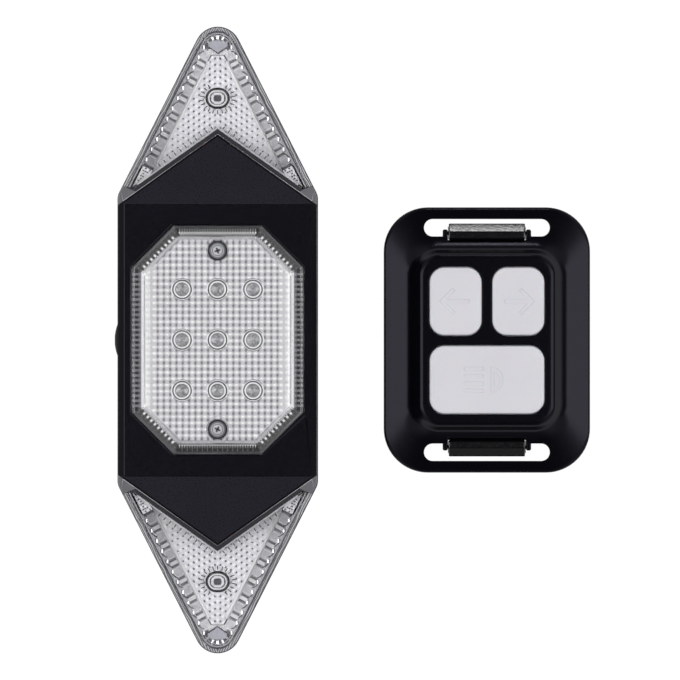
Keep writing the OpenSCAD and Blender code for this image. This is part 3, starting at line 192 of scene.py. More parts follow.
paper, tree, place = new_finish("matte white background paper")
rays = put(tree, "ShaderNodeLightPath").outputs
direct = put(tree, MATHS, {0: rays["Is Camera Ray"], 1: rays["Is Glossy Ray"]},
             operation="MAXIMUM")
direct = put(tree, MATHS, {0: direct, 1: rays["Is Transmission Ray"]}, operation="MAXIMUM")
share = put(tree, MATHS, {0: direct, 1: PAPER_GLOW}, operation="MULTIPLY")
fibre = put(tree, "ShaderNodeTexNoise", {"Vector": place, "Scale": 600.0, "Detail": 3.0})
tone = put(tree, "ShaderNodeMapRange", {0: fibre.outputs["Fac"], 3: 0.86, 4: 0.9})
sheet = put(tree, "ShaderNodeBsdfDiffuse", {"Color": tone})
glow = put(tree, "ShaderNodeEmission", {"Color": (1, 1, 1, 1), "Strength": 1.05})
mixed = put(tree, "ShaderNodeMixShader", {0: share, 1: sheet, 2: glow})
put(tree, "ShaderNodeOutputMaterial", {0: mixed})
floor.data.materials.append(paper)


# %% [markdown]
# ## Finishes
#
# Nearly everything here is moulded plastic. A mould leaves a fine, even grain on plastic: tiny
# bumps that break up reflections, and a roughness that changes a little from place to place. One
# function makes that family of finishes from a few measured values: the grain's size in
# millimetres, its depth, the roughness and how much the colour wanders.

# %% The family of moulded finishes
def moulded(name, dark, light, rough, grain, depth, drift=9.0, **shader):
    """A moulded surface: colours from dark to light in patches of drift mm, roughness rough
    give or take 0.05, and a grain of the given size and depth in mm."""
    material, tree, place = new_finish(name)
    patches = put(tree, "ShaderNodeTexNoise",
                  {"Vector": place, "Scale": 1 / (drift * MM), "Detail": 3.0}).outputs["Fac"]
    colour = put(tree, "ShaderNodeMix", {0: patches, 6: linear(dark), 7: linear(light)},
                 data_type="RGBA").outputs[2]
    grains = put(tree, "ShaderNodeTexNoise",
                 {"Vector": place, "Scale": 1 / (grain * MM), "Detail": 2.0}).outputs["Fac"]
    roughness = put(tree, "ShaderNodeMapRange",
                    {0: grains, 1: 0.3, 2: 0.7, 3: rough - 0.05, 4: rough + 0.05})
    bump = put(tree, "ShaderNodeBump", {"Height": grains, "Distance": depth * MM})
    surface = put(tree, "ShaderNodeBsdfPrincipled",
                  {"Base Color": colour, "Roughness": roughness, "Normal": bump, **shader})
    put(tree, "ShaderNodeOutputMaterial", {0: surface})
    return material


# What black ABS mirrors has a faint cool tint.
COOL = linear("#e6e2fa")
# ABS with a spark-eroded grain, as on most black housings: satin, nearly black. The real grain is
# about 0.1 mm; it is drawn at 0.35 mm, which still shows at this picture's 0.27 mm per pixel.
BLACK_ABS = moulded("black ABS, spark-eroded", "#08080c", "#0c0c12", 0.2, 0.35, 0.005,
                    **{"IOR": 1.53, "Specular IOR Level": 0.3, "Specular Tint": COOL})
# The sloping triangles are painted a little lighter, a painted sheen, and have a coarser grain; the
# chamfers along the sides have a dull grain.
SLOPE_SHEEN_ABS = moulded("black ABS, coarse spark-eroded", "#1d1c22", "#232228", 0.3, 0.45, 0.002,
                    **{"IOR": 1.53, "Specular IOR Level": 0.35, "Specular Tint": COOL})
CHAMFER_ABS = moulded("black ABS, dull edge", "#0a0a0d", "#0e0e12", 0.5, 0.35, 0.005,
                      **{"IOR": 1.53, "Specular IOR Level": 0.08, "Specular Tint": COOL})
# The same plastic from a finer mould on the remote, bluer and darker.
REMOTE_ABS = moulded("black ABS, fine satin", "#040408", "#07070c", 0.2, 0.3, 0.004,
                     **{"IOR": 1.53, "Specular IOR Level": 0.18, "Specular Tint": COOL})
# Glass-filled nylon from a polished mould: glossy, with faint flow streaks.
HOOK_NYLON = moulded("black nylon, polished mould", "#060608", "#0c0c0f", 0.14, 0.5, 0.014, 2.0,
                     **{"IOR": 1.55, "Specular IOR Level": 0.7})
# Silicone rubber keys: light grey, soft satin that hardly mirrors.
KEY_SILICONE = moulded("light grey silicone rubber", "#dcdbe1", "#e4e3e9", 0.52, 0.3, 0.005,
                       14.0, **{"IOR": 1.43, "Subsurface Weight": 0.12,
                                "Subsurface Scale": 0.001})
# Black silicone of the saddle pad, port cover and side button: dull and slightly dusty.
BLACK_RUBBER = moulded("black silicone rubber", "#0c0c0d", "#151516", 0.68, 0.25, 0.012,
                       4.0, **{"IOR": 1.43})
# Grey foam-like seals.
GREY_RUBBER = moulded("dark grey seal rubber", "#29292b", "#353537", 0.75, 0.2, 0.015, 3.0)
# Bright moulded reflector plastic.
REFLECTOR_WHITE = moulded("white ABS, bright moulded", "#c8c8cc", "#dcdce0", 0.3, 0.3, 0.006,
                          3.0, **{"IOR": 1.5})
# Faces of moulded prisms, painted with the reflections they stand for: dark ones with the dark
# overhead that such a face mirrors, bright ones with a soft box, and the greys between with shares of
# both.
PRISM_DARK = moulded("prism shadow, smoked clear", "#46464b", "#636368", 0.25, 0.2, 0.004, 1.0)
PRISM_SMOKE = moulded("prism side, clear over dark grey", "#58585d", "#77777d", 0.25, 0.2, 0.004,
                      1.0)
PRISM_GREY = moulded("prism side, clear over grey", "#7c7c81", "#98989d", 0.25, 0.3, 0.006, 1.2)
PRISM_PALE = moulded("prism side, clear over white", "#a8a8ad", "#cacace", 0.22, 0.3, 0.006, 0.9)
PRISM_BRIGHT = moulded("prism highlight, clear", "#eeeef0", "#fafafb", 0.18, 0.3, 0.004, 1.0)
PRISM_WHITE = moulded("prism face, white behind", "#e0e0e4", "#f4f4f6", 0.25, 0.3, 0.006, 1.0)
# The plain spot at each tip, where nothing lies close under the clear plastic.
FACET_LILAC = moulded("plain facet, clear over white", "#b2b2bc", "#bdbdc7", 0.2, 0.5, 0.004, 2.0)
# Solder mask on the boards.
MASK_GREEN = moulded("green solder mask", "#0d4a26", "#146335", 0.34, 0.5, 0.008, 1.6)
MASK_GREY = moulded("grey solder mask", "#85858b", "#a9a9af", 0.4, 0.5, 0.006, 1.0)
# The square diodes: white phosphor under clear silicone, in a matt pale case.
LAMP_CASE = moulded("diode case, white PPA", "#ececf0", "#fafafc", 0.45, 0.2, 0.004, 1.0)
LAMP_PHOSPHOR = moulded("diode phosphor under clear silicone", "#d0d0d4", "#f2f2f6", 0.2, 0.3,
                        0.003, 0.8)
# The round diodes: a silver cup seen through the dome, a bright rim, and the dark gap round it, which
# is painted shade.
LAMP_CUP = moulded("diode cup, dim silver", "#161618", "#dcdce0", 0.25, 0.4, 0.02, 0.8,
                   **{"Metallic": 0.3})
LAMP_RING = moulded("diode rim, bright epoxy", "#f4f4f7", "#ffffff", 0.15, 0.3, 0.003, 1.0)
RING_SHADE = moulded("gap round a diode, dark", "#202024", "#2c2c31", 0.3, 0.3, 0.004, 1.0)
# The bottom of the lens's border, painted black as the shade between the ridges and nearly without
# gloss, so that the ridges stand out.
BED_BLACK = moulded("bed under the ridges, black", "#08080a", "#101013", 0.4, 0.3, 0.004, 1.0,
                    **{"Specular IOR Level": 0.15})
# An aluminised prism face: a small mirror, so a face that leans 18 degrees to the left or right
# shows a soft box and sparkles, and one that leans to an end stays dark.
SPARKLE = moulded("aluminised prism face", "#e8e8ea", "#f8f8fa", 0.24, 0.4, 0.004, 1.0,
                  **{"Metallic": 1.0})
# The leads' soft, satin insulation.
RED_PVC = moulded("red PVC insulation", "#9d1218", "#b81d22", 0.35, 0.4, 0.006, 1.5)
BLACK_PVC = moulded("black PVC insulation", "#0e0e0f", "#171718", 0.35, 0.4, 0.006, 1.5)
# The cell's pouch: foil with shallow dents.
FOIL = moulded("aluminium foil pouch", "#8d9094", "#a9abaf", 0.32, 1.4, 0.05, 3.0,
               **{"Metallic": 0.9})


# %% [markdown]
# ### Metals
#
# The screws are zinc-plated steel, the insert is turned brass. A turned or pressed metal shows
# fine lines round its axis or along its length. Here a noise that is stretched along one direction
# makes the lines, in the roughness and in the bump.

# %% Brushed metals
def brushed(name, dark, light, rough, line, stretch):
    """Metal with lines line mm apart that run along the axis that stretch leaves small."""
    material, tree, place = new_finish(name)
    pulled = put(tree, "ShaderNodeMapping", {"Vector": place, "Scale": stretch})
    lines = put(tree, "ShaderNodeTexNoise",
                {"Vector": pulled, "Scale": 1 / (line * MM), "Detail": 4.0}).outputs["Fac"]
    colour = put(tree, "ShaderNodeMix", {0: lines, 6: linear(dark), 7: linear(light)},
                 data_type="RGBA").outputs[2]
    roughness = put(tree, "ShaderNodeMapRange",
                    {0: lines, 1: 0.3, 2: 0.7, 3: rough - 0.07, 4: rough + 0.07})
    bump = put(tree, "ShaderNodeBump", {"Height": lines, "Distance": 0.004 * MM})
    surface = put(tree, "ShaderNodeBsdfPrincipled",
                  {"Base Color": colour, "Metallic": 1.0, "Roughness": roughness, "Normal": bump})
    put(tree, "ShaderNodeOutputMaterial", {0: surface})
    return material


# Screws and pads are bright or dull zinc; the pins, cans and clips drawn steel; the insert brass.
ZINC = brushed("zinc-plated steel, pressed", "#8d8d92", "#b5b5ba", 0.34, 0.3, (1, 1, 0.2))
ZINC_DULL = brushed("zinc-plated steel, tumbled", "#b8b8bd", "#ececf1", 0.5, 0.3, (1, 1, 0.2))
STEEL = brushed("stainless steel, drawn", "#9a9a9e", "#c2c2c6", 0.28, 0.2, (0.1, 1, 1))
BRASS = brushed("brass, turned", "#b08a43", "#cfaa5e", 0.28, 0.25, (1, 1, 6))


# %% [markdown]
# ### Clear polycarbonate
#
# The lenses are injection-moulded polycarbonate: clear, glossy, with an index of refraction of
# 1.58. Refraction through the walls gives the grey and dark bands round the ends. Shadow rays pass
# straight through, so that the studio's light reaches the prisms and diodes without grain.

# %% Clear and smoky plastic
def clear(name, tint, shade, rough, flow):
    """Clear plastic: tint colours what is seen through it, shade what its shadow lets past, and
    flow is the depth of its moulding waves in mm."""
    material, tree, place = new_finish(name)
    waves = put(tree, "ShaderNodeTexNoise",
                {"Vector": place, "Scale": 1 / (6 * MM), "Detail": 1.0}).outputs["Fac"]
    roughness = put(tree, "ShaderNodeMapRange",
                    {0: waves, 1: 0.3, 2: 0.7, 3: rough, 4: rough + 0.03})
    bump = put(tree, "ShaderNodeBump", {"Height": waves, "Distance": flow * MM})
    glass = put(tree, "ShaderNodeBsdfPrincipled",
                {"Base Color": linear(tint), "Roughness": roughness, "Normal": bump,
                 "IOR": 1.58, "Specular IOR Level": 0.3, "Transmission Weight": 1.0})
    passing = put(tree, "ShaderNodeBsdfTransparent", {"Color": linear(shade)})
    shadow = put(tree, "ShaderNodeLightPath").outputs["Is Shadow Ray"]
    mixed = put(tree, "ShaderNodeMixShader", {0: shadow, 1: glass, 2: passing})
    put(tree, "ShaderNodeOutputMaterial", {0: mixed})
    return material


CLEAR_PC = clear("clear polycarbonate, polished mould", "#fdfdfd", "#fdfdfd", 0.02, 0.003)


# %% [markdown]
# ## Shapes that repeat
#
# A few small tools make most meshes. `loft` skins a stack of outlines, `spin` turns a profile round
# an axis, `dressed` rounds the edges of a CAD solid, and `cut` and `fuse` take solids off each
# other or join them. `settle` turns live modifiers into a plain mesh.

# %% Settle modifiers and shade a mesh
def applied(obj):
    """Turns the object's live modifiers into a plain mesh."""
    seen_now = obj.evaluated_get(bpy.context.evaluated_depsgraph_get())
    mesh = bpy.data.meshes.new_from_object(seen_now)
    obj.modifiers.clear()
    old, obj.data = obj.data, mesh
    mesh.name = obj.name
    if old.users == 0:
        bpy.data.meshes.remove(old)
    return obj


def settle(obj, smooth=35):
    """Applies the modifiers, then shades smooth with edges sharper than smooth degrees kept."""
    mesh = applied(obj).data
    mesh.shade_smooth()
    mesh.set_sharp_from_angle(angle=radians(smooth))
    return obj


def flat_shaded(obj):
    """Lets large faces rule the shading, so that flat ones stay flat beside a bevel."""
    weigh = obj.modifiers.new("weigh", "WEIGHTED_NORMAL")
    weigh.keep_sharp = True
    return applied(obj)


def rounded(obj, width, segments=2, limit=30, smooth=35):
    """Bevels every edge sharper than limit degrees, width mm wide."""
    bevel = obj.modifiers.new("round", "BEVEL")
    bevel.width = width * MM
    bevel.segments = segments
    bevel.limit_method = "ANGLE"
    bevel.angle_limit = radians(limit)
    bevel.use_clamp_overlap = False
    bevel.miter_outer = "MITER_ARC"
    return flat_shaded(settle(obj, smooth))


def merged_copy(name, node):
    """A copy of a CAD node's mesh with its loose triangles merged into clean faces."""
    mesh = NODES[node].data.copy()
    mesh.materials.clear()
    shell = bmesh.new()
    shell.from_mesh(mesh)
    bmesh.ops.remove_doubles(shell, verts=shell.verts, dist=1e-6)
    bmesh.ops.dissolve_limit(shell, angle_limit=radians(0.5), verts=shell.verts,
                             edges=shell.edges)
    shell.to_mesh(mesh)
    shell.free()
    return link_mesh(name, mesh)


def dressed(name, node, width, segments=2, limit=30):
    """A CAD node's own form with its moulded edges rounded."""
    return rounded(merged_copy(name, node), width, segments, limit)


# %% Outlines
def arc(centre, radius, start, end, steps):
    """Points on an arc, angles in degrees."""
    return [(centre[0] + radius * cos(radians(start + (end - start) * i / steps)),
             centre[1] + radius * sin(radians(start + (end - start) * i / steps)))
            for i in range(steps + 1)]


def round_rect(width, length, radius, steps=12):
    """A rectangle round the origin with round corners."""
    x, y = width / 2 - radius, length / 2 - radius
    return (arc((x, y), radius, 0, 90, steps) + arc((-x, y), radius, 90, 180, steps)
            + arc((-x, -y), radius, 180, 270, steps) + arc((x, -y), radius, 270, 360, steps))


def loft(name, sections, origin=(0, 0)):
    """A closed solid through a stack of (outline, height) sections of as many points each."""
    count = len(sections[0][0])
    points = [(x + origin[0], y + origin[1], z) for outline, z in sections for x, y in outline]
    faces = [(k * count + i, k * count + (i + 1) % count,
              (k + 1) * count + (i + 1) % count, (k + 1) * count + i)
             for k in range(len(sections) - 1) for i in range(count)]
    last = (len(sections) - 1) * count
    faces += [tuple(range(count - 1, -1, -1)), tuple(range(last, last + count))]
    return from_points(name, points, faces)


def slab(name, outline, low, high, origin=(0, 0)):
    """An outline made solid between two heights."""
    return loft(name, [(outline, low), (outline, high)], origin)


def block(name, low, high):
    """A box between two corners, for cutting."""
    outline = [(low[0], low[1]), (high[0], low[1]), (high[0], high[1]), (low[0], high[1])]
    return slab(name, outline, low[2], high[2])


def soften(stations, reaches, steps=5):
    """Rounds a stack of (width, length, radius, height) stations: reaches says how many mm of
    the profile are used up on either side of each inner station."""
    out = [stations[0]]
    for before, here, after, reach in zip(stations, stations[1:], stations[2:], reaches):
        ends = []
        for other in (before, after):
            run = hypot((other[0] - here[0]) / 2, other[3] - here[3])
            share = min(reach / run, 0.5)
            ends.append([h + (o - h) * share for h, o in zip(here, other)])
        for i in range(steps + 1):
            t = i / steps
            out.append(tuple((1 - t) ** 2 * a + 2 * t * (1 - t) * h + t * t * b
                             for a, h, b in zip(ends[0], here, ends[1])))
    out.append(stations[-1])
    return out


def rounded_loft(name, stations, reaches, origin=(0, 0), steps=5, corner=12):
    """A solid through rounded rectangles, with its profile softened as soften says."""
    return loft(name, [(round_rect(w, l, r, corner), z)
                       for w, l, r, z in soften(stations, reaches, steps)], origin)


def spin(name, profile, places=((0, 0, 0),), steps=48):
    """A profile of (radius, height) points, turned round a vertical axis at each place. The
    profile starts and ends on the axis, or is a ring that ends where it starts."""
    points, faces = [], []
    closed = profile[0] == profile[-1]
    for px, py, pz in places:
        rings = []
        for radius, z in profile[:-1] if closed else profile:
            if radius < 1e-6:
                rings.append([len(points)])
                points.append((px, py, pz + z))
            else:
                rings.append(list(range(len(points), len(points) + steps)))
                points += [(px + radius * cos(2 * pi * i / steps),
                            py + radius * sin(2 * pi * i / steps), pz + z)
                           for i in range(steps)]
        rings += rings[:1] if closed else []
        for a, b in zip(rings, rings[1:]):
            for i in range(steps):
                j = (i + 1) % steps
                if len(a) == 1 and len(b) > 1:
                    faces.append((a[0], b[i], b[j]))
                elif len(b) == 1 and len(a) > 1:
                    faces.append((a[i], b[0], a[j]))
                elif len(a) > 1:
                    faces.append((a[i], b[i], b[j], a[j]))
    return from_points(name, points, faces)


# %% Cutting and joining solids
def drop(obj):
    """Deletes a tool or a template."""
    mesh = obj.data
    bpy.data.objects.remove(obj)
    bpy.data.meshes.remove(mesh)


def combine(obj, tools, operation):
    """Cuts or fuses a list of tools, which are used up."""
    for tool in tools:
        change = obj.modifiers.new("combine", "BOOLEAN")
        change.operation = operation
        change.solver = "EXACT"
        change.object = tool
        settle(obj)
        drop(tool)
    return obj


def cut(obj, *tools):
    """Takes tools off a solid."""
    return combine(obj, tools, "DIFFERENCE")


def fuse(obj, *tools):
    """Joins tools to a solid."""
    return combine(obj, tools, "UNION")


def paint(obj, *materials, choose=None):
    """Gives an object its finishes. choose turns a face's centre, in mm, and normal into the
    number of its finish."""
    obj.data.materials.clear()
    for material in materials:
        obj.data.materials.append(material)
    for face in obj.data.polygons:
        face.material_index = choose(face.center / MM, face.normal) if choose else 0
    return obj


def seat(obj, body, slot, *nodes):
    """Makes a finished piece ride on its body and hides what it stands for. slot is not used."""
    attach(obj, body)
    if nodes:
        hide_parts(*nodes)
    print(obj.name, "rides on", body, "with", len(obj.data.polygons), "faces")
    return obj


# %% [markdown]
# ### A Geometry Nodes stamp
#
# Prisms, ribs, diodes and screws repeat along rows. They are placed by Geometry Nodes: the points
# of a mesh carry a turn each, the tree stamps a template on them, makes the copies real and sets
# the finish. The template is a small mesh of its own, and a stamp uses it up.

# %% The stamp
def stamp_tree(name):
    """A tree that stamps Template on each point, turned by its turn, in a Finish."""
    tree = bpy.data.node_groups.new(name, "GeometryNodeTree")
    face = tree.interface
    for socket, kind in (("Geometry", "Geometry"), ("Template", "Object"), ("Finish", "Material")):
        face.new_socket(socket, in_out="INPUT", socket_type="NodeSocket" + kind)
    face.new_socket("Geometry", in_out="OUTPUT", socket_type="NodeSocketGeometry")
    given = put(tree, "NodeGroupInput").outputs
    turn = put(tree, "GeometryNodeInputNamedAttribute", {"Name": "turn"}, data_type="FLOAT")
    spun = put(tree, "ShaderNodeCombineXYZ", {"Z": turn.outputs["Attribute"]})
    template = put(tree, "GeometryNodeObjectInfo", {"Object": given["Template"]})
    stamped = put(tree, "GeometryNodeInstanceOnPoints",
                  {"Points": given["Geometry"], "Instance": template.outputs["Geometry"],
                   "Rotation": spun})
    real = put(tree, "GeometryNodeRealizeInstances", {0: stamped})
    finished = put(tree, "GeometryNodeSetMaterial",
                   {"Geometry": real, "Material": given["Finish"]})
    put(tree, "NodeGroupOutput", {0: finished})
    return tree


STAMP = stamp_tree("stamp")


def socket_ids(tree):
    """The identifiers of a tree's inputs, by their names."""
    return {s.name: s.identifier for s in tree.interface.items_tree if s.in_out == "INPUT"}


def stamped(name, template, places, finish, smooth=35):
    """Copies of template at places, each (x, y, z, turn in degrees). It uses up the template."""
    mesh = bpy.data.meshes.new(name)
    mesh.from_pydata([Vector(p[:3]) * MM for p in places], [], [])
    turns = mesh.attributes.new("turn", "FLOAT", "POINT")
    turns.data.foreach_set("value", [radians(p[3]) for p in places])
    obj = link_mesh(name, mesh)
    nodes = obj.modifiers.new("stamp", "NODES")
    nodes.node_group = STAMP
    ids = socket_ids(STAMP)
    nodes[ids["Template"]] = template
    nodes[ids["Finish"]] = finish
    settle(obj, smooth)
    for extra in [a for a in obj.data.attributes if a.name == "turn"]:
        obj.data.attributes.remove(extra)
    drop(template)
    return obj


# %% [markdown]
# ## The light's housing
#
# Two black halves: a rear tub, of which a thin dark edge shows all round, and a front with a flat
# middle, two sloping triangles and a recess for the lens. Their form comes straight from the CAD
# model; what a mould adds is a small radius on every edge, so that each fold catches a fine line
# of light.

# %% Housing halves
rear_shell = dressed("rear_shell", "rear_housing", 0.25)
paint(rear_shell, BLACK_ABS)
seat(rear_shell, "light", "black_shell", "rear_housing")

face_shell = dressed("face_shell", "front_housing", 0.3, 3, 8)
# The V slopes get the lighter finish, a painted sheen, and the side chamfers the dull one.
paint(face_shell, BLACK_ABS, SLOPE_SHEEN_ABS, CHAMFER_ABS, choose=lambda centre, normal: (
    2 if 0.3 < abs(normal.x) < 0.95 and normal.z > 0.2
    else int(0.12 < abs(normal.y) < 0.24 and normal.z > 0.95)))
seat(face_shell, "light", "black_shell", "front_housing")

# %% [markdown]
# ## The centre lens
#
# The middle lens is an eight-sided clear cap with a sloping border and a flat field. Under its
# foot lies a lip with short dashes, under the border a bed of three steps with rows of small
# ridges, and under the field a sheet of small pillows.

# %% Sizes of the centre lens
CENTRE_W, CENTRE_L, CENTRE_CUT = 46.4, 62.0, 11.3
FLANGE_Z, FOOT_Z, FIELD_Z = 23.0, 24.2, 27.0
BEVEL = 3.8
SCREW_Y, SCREW_SEAT = 24.2, 24.4
CUT_SHARE = 2 - 2 ** 0.5


def octagon(inset=0.0):
    """The lens's outline, inset by so many mm, from the lower end of the right side."""
    x, y = CENTRE_W / 2 - inset, CENTRE_L / 2 - inset
    c = CENTRE_CUT - CUT_SHARE * inset
    return [(x, c - y), (x, y - c), (x - c, y), (c - x, y), (-x, y - c), (-x, c - y),
            (c - x, -y), (x - c, -y)]


# %% The clear cap
outer = [(octagon(0.0), FLANGE_Z), (octagon(0.0), FOOT_Z - 0.15), (octagon(0.2), FOOT_Z + 0.05),
         (octagon(BEVEL - 0.5), FIELD_Z - 0.32), (octagon(BEVEL - 0.1), FIELD_Z - 0.12),
         (octagon(BEVEL + 0.35), FIELD_Z - 0.02), (octagon(BEVEL + 0.7), FIELD_Z)]
inner = [(octagon(1.0), FLANGE_Z - 1), (octagon(1.0), FLANGE_Z + 0.65),
         (octagon(BEVEL - 0.6), FIELD_Z - 1.8)]
centre_cap = cut(loft("centre_cap", outer), loft("hollow", inner))
for side in (-1, 1):
    place = (0, side * SCREW_Y)
    post = slab("post", round_rect(7.1, 7.1, 3.549, 10), 21.0, 26.0, place)
    bore = slab("bore", round_rect(5.5, 5.5, 2.749, 12), SCREW_SEAT, 28.0, place)
    hole = slab("hole", round_rect(2.3, 2.3, 1.149, 8), 20.0, 28.0, place)
    cut(fuse(centre_cap, post), bore, hole)
rounded(centre_cap, 0.12, 2, 20, 20)
paint(centre_cap, CLEAR_PC)
seat(centre_cap, "light", "clear_lens", "centre_lens")

# %% [markdown]
# A finish and a form that keep step: the pillows' height and their colour come from the same cosines
# of the Object coordinates. The colour is a painted reflection: a soft dark dot on each crown, where
# the pillow mirrors the dark sky overhead, and a painted shine between four crowns, where it mirrors
# the soft boxes.

# %% A finish on a lattice of dots
def lattice_finish(name, dark, mid, light, lattice, dot, fade=(100.0, 101.0), uneven_by=0.22,
                   flat=0.0):
    """Plastic with dots. lattice is (pitch x, shift x, pitch y, shift y, slope) in mm: rows rise
    by slope away from the middle, and with a slope both halves are alike. dot is how big the
    dark dots are, from 0 to 1, fade the x in mm where they start and end to fade out, uneven_by
    how much soft patches change the shade, and flat how much the light between two columns of
    dots is spread."""
    material, tree, place = new_finish(name)
    pitch_x, shift_x, pitch_y, shift_y, slope = lattice
    parts = put(tree, "ShaderNodeSeparateXYZ", {0: place}).outputs
    side = put(tree, MATHS, {0: parts["X"]}, operation="ABSOLUTE")
    rise = put(tree, MATHS, {0: parts["Y"]}, operation="ABSOLUTE") if slope else parts["Y"]
    rise = put(tree, MATHS, {0: side, 1: slope, 2: rise}, operation="MULTIPLY_ADD")
    turns = []
    for value, shift, pitch in ((side, shift_x, pitch_x), (rise, shift_y, pitch_y)):
        moved = put(tree, MATHS, {0: value, 1: shift * MM}, operation="SUBTRACT")
        turns.append(put(tree, MATHS, {0: moved, 1: 2 * pi / (pitch * MM)}, operation="MULTIPLY"))
    turns.append(put(tree, MATHS, {0: turns[0], 1: 2.0}, operation="MULTIPLY"))
    columns, rows, between = [put(tree, MATHS, {0: turn}, operation="COSINE") for turn in turns]
    crown = put(tree, MATHS, {0: between, 1: flat, 2: columns}, operation="MULTIPLY_ADD")
    crown = put(tree, MATHS, {0: crown, 1: rows}, operation="ADD")
    strength, level = [put(tree, "ShaderNodeMapRange", {0: side, 1: fade[0] * MM, 2: fade[1] * MM,
                                                        3: near, 4: far})
                       for near, far in ((0.25, 0.07), (0.5, 0.22))]
    blend = put(tree, MATHS, {0: crown, 1: strength, 2: level}, operation="MULTIPLY_ADD")
    uneven, fine = [put(tree, "ShaderNodeTexNoise", {"Vector": place, "Scale": 1 / (size * MM),
                                                     "Detail": detail}).outputs["Fac"]
                    for size, detail in ((6, 3.0), (0.8, 2.0))]
    for noise, reach in ((uneven, uneven_by), (fine, 0.3)):
        swing = put(tree, MATHS, {0: noise, 1: 0.5}, operation="SUBTRACT")
        blend = put(tree, MATHS, {0: swing, 1: reach, 2: blend}, operation="MULTIPLY_ADD")
    ramp = put(tree, "ShaderNodeValToRGB", {0: blend})
    steps = ramp.color_ramp.elements
    steps[0].position, steps[0].color = 0.06, linear(light)
    steps[1].position, steps[1].color = 0.98, linear(dark)
    middle = steps.new(0.30)
    middle.color = linear(mid)
    edge = steps.new(1 - dot)
    edge.color = linear(mid)
    roughness = put(tree, "ShaderNodeMapRange", {0: fine, 3: 0.14, 4: 0.28})
    bump = put(tree, "ShaderNodeBump", {"Height": fine, "Distance": 0.01 * MM})
    surface = put(tree, "ShaderNodeBsdfPrincipled",
                  {"Base Color": ramp, "Roughness": roughness, "Normal": bump, "IOR": 1.58})
    put(tree, "ShaderNodeOutputMaterial", {0: surface})
    return material


PILLOW = 1.71
PILLOW_ROW = 0.64
PILLOWS = lattice_finish("pillow prisms, moulded clear", "#7a7a80", "#cfced2", "#fdfdfd",
                         (PILLOW, PILLOW / 2, PILLOW, PILLOW_ROW, 0.0), 0.48, (16.2, 18.4), 0.1,
                         0.3)

# %% [markdown]
# The pillow sheet is a grid that Geometry Nodes lay, lift by two cosines, and trim to the
# eight-sided field. It leaves holes for the diodes and the screws.

# %% Pillow sheet by Geometry Nodes
LED_PITCH_X, LED_PITCH_Y = 9.6, 13.7
LED_PLACES = [(x * LED_PITCH_X, y * LED_PITCH_Y, 0) for x in (-1, 0, 1) for y in (-1, 0, 1)]
LED_HOLE_R, SCREW_HOLE_R = 2.62, 2.82


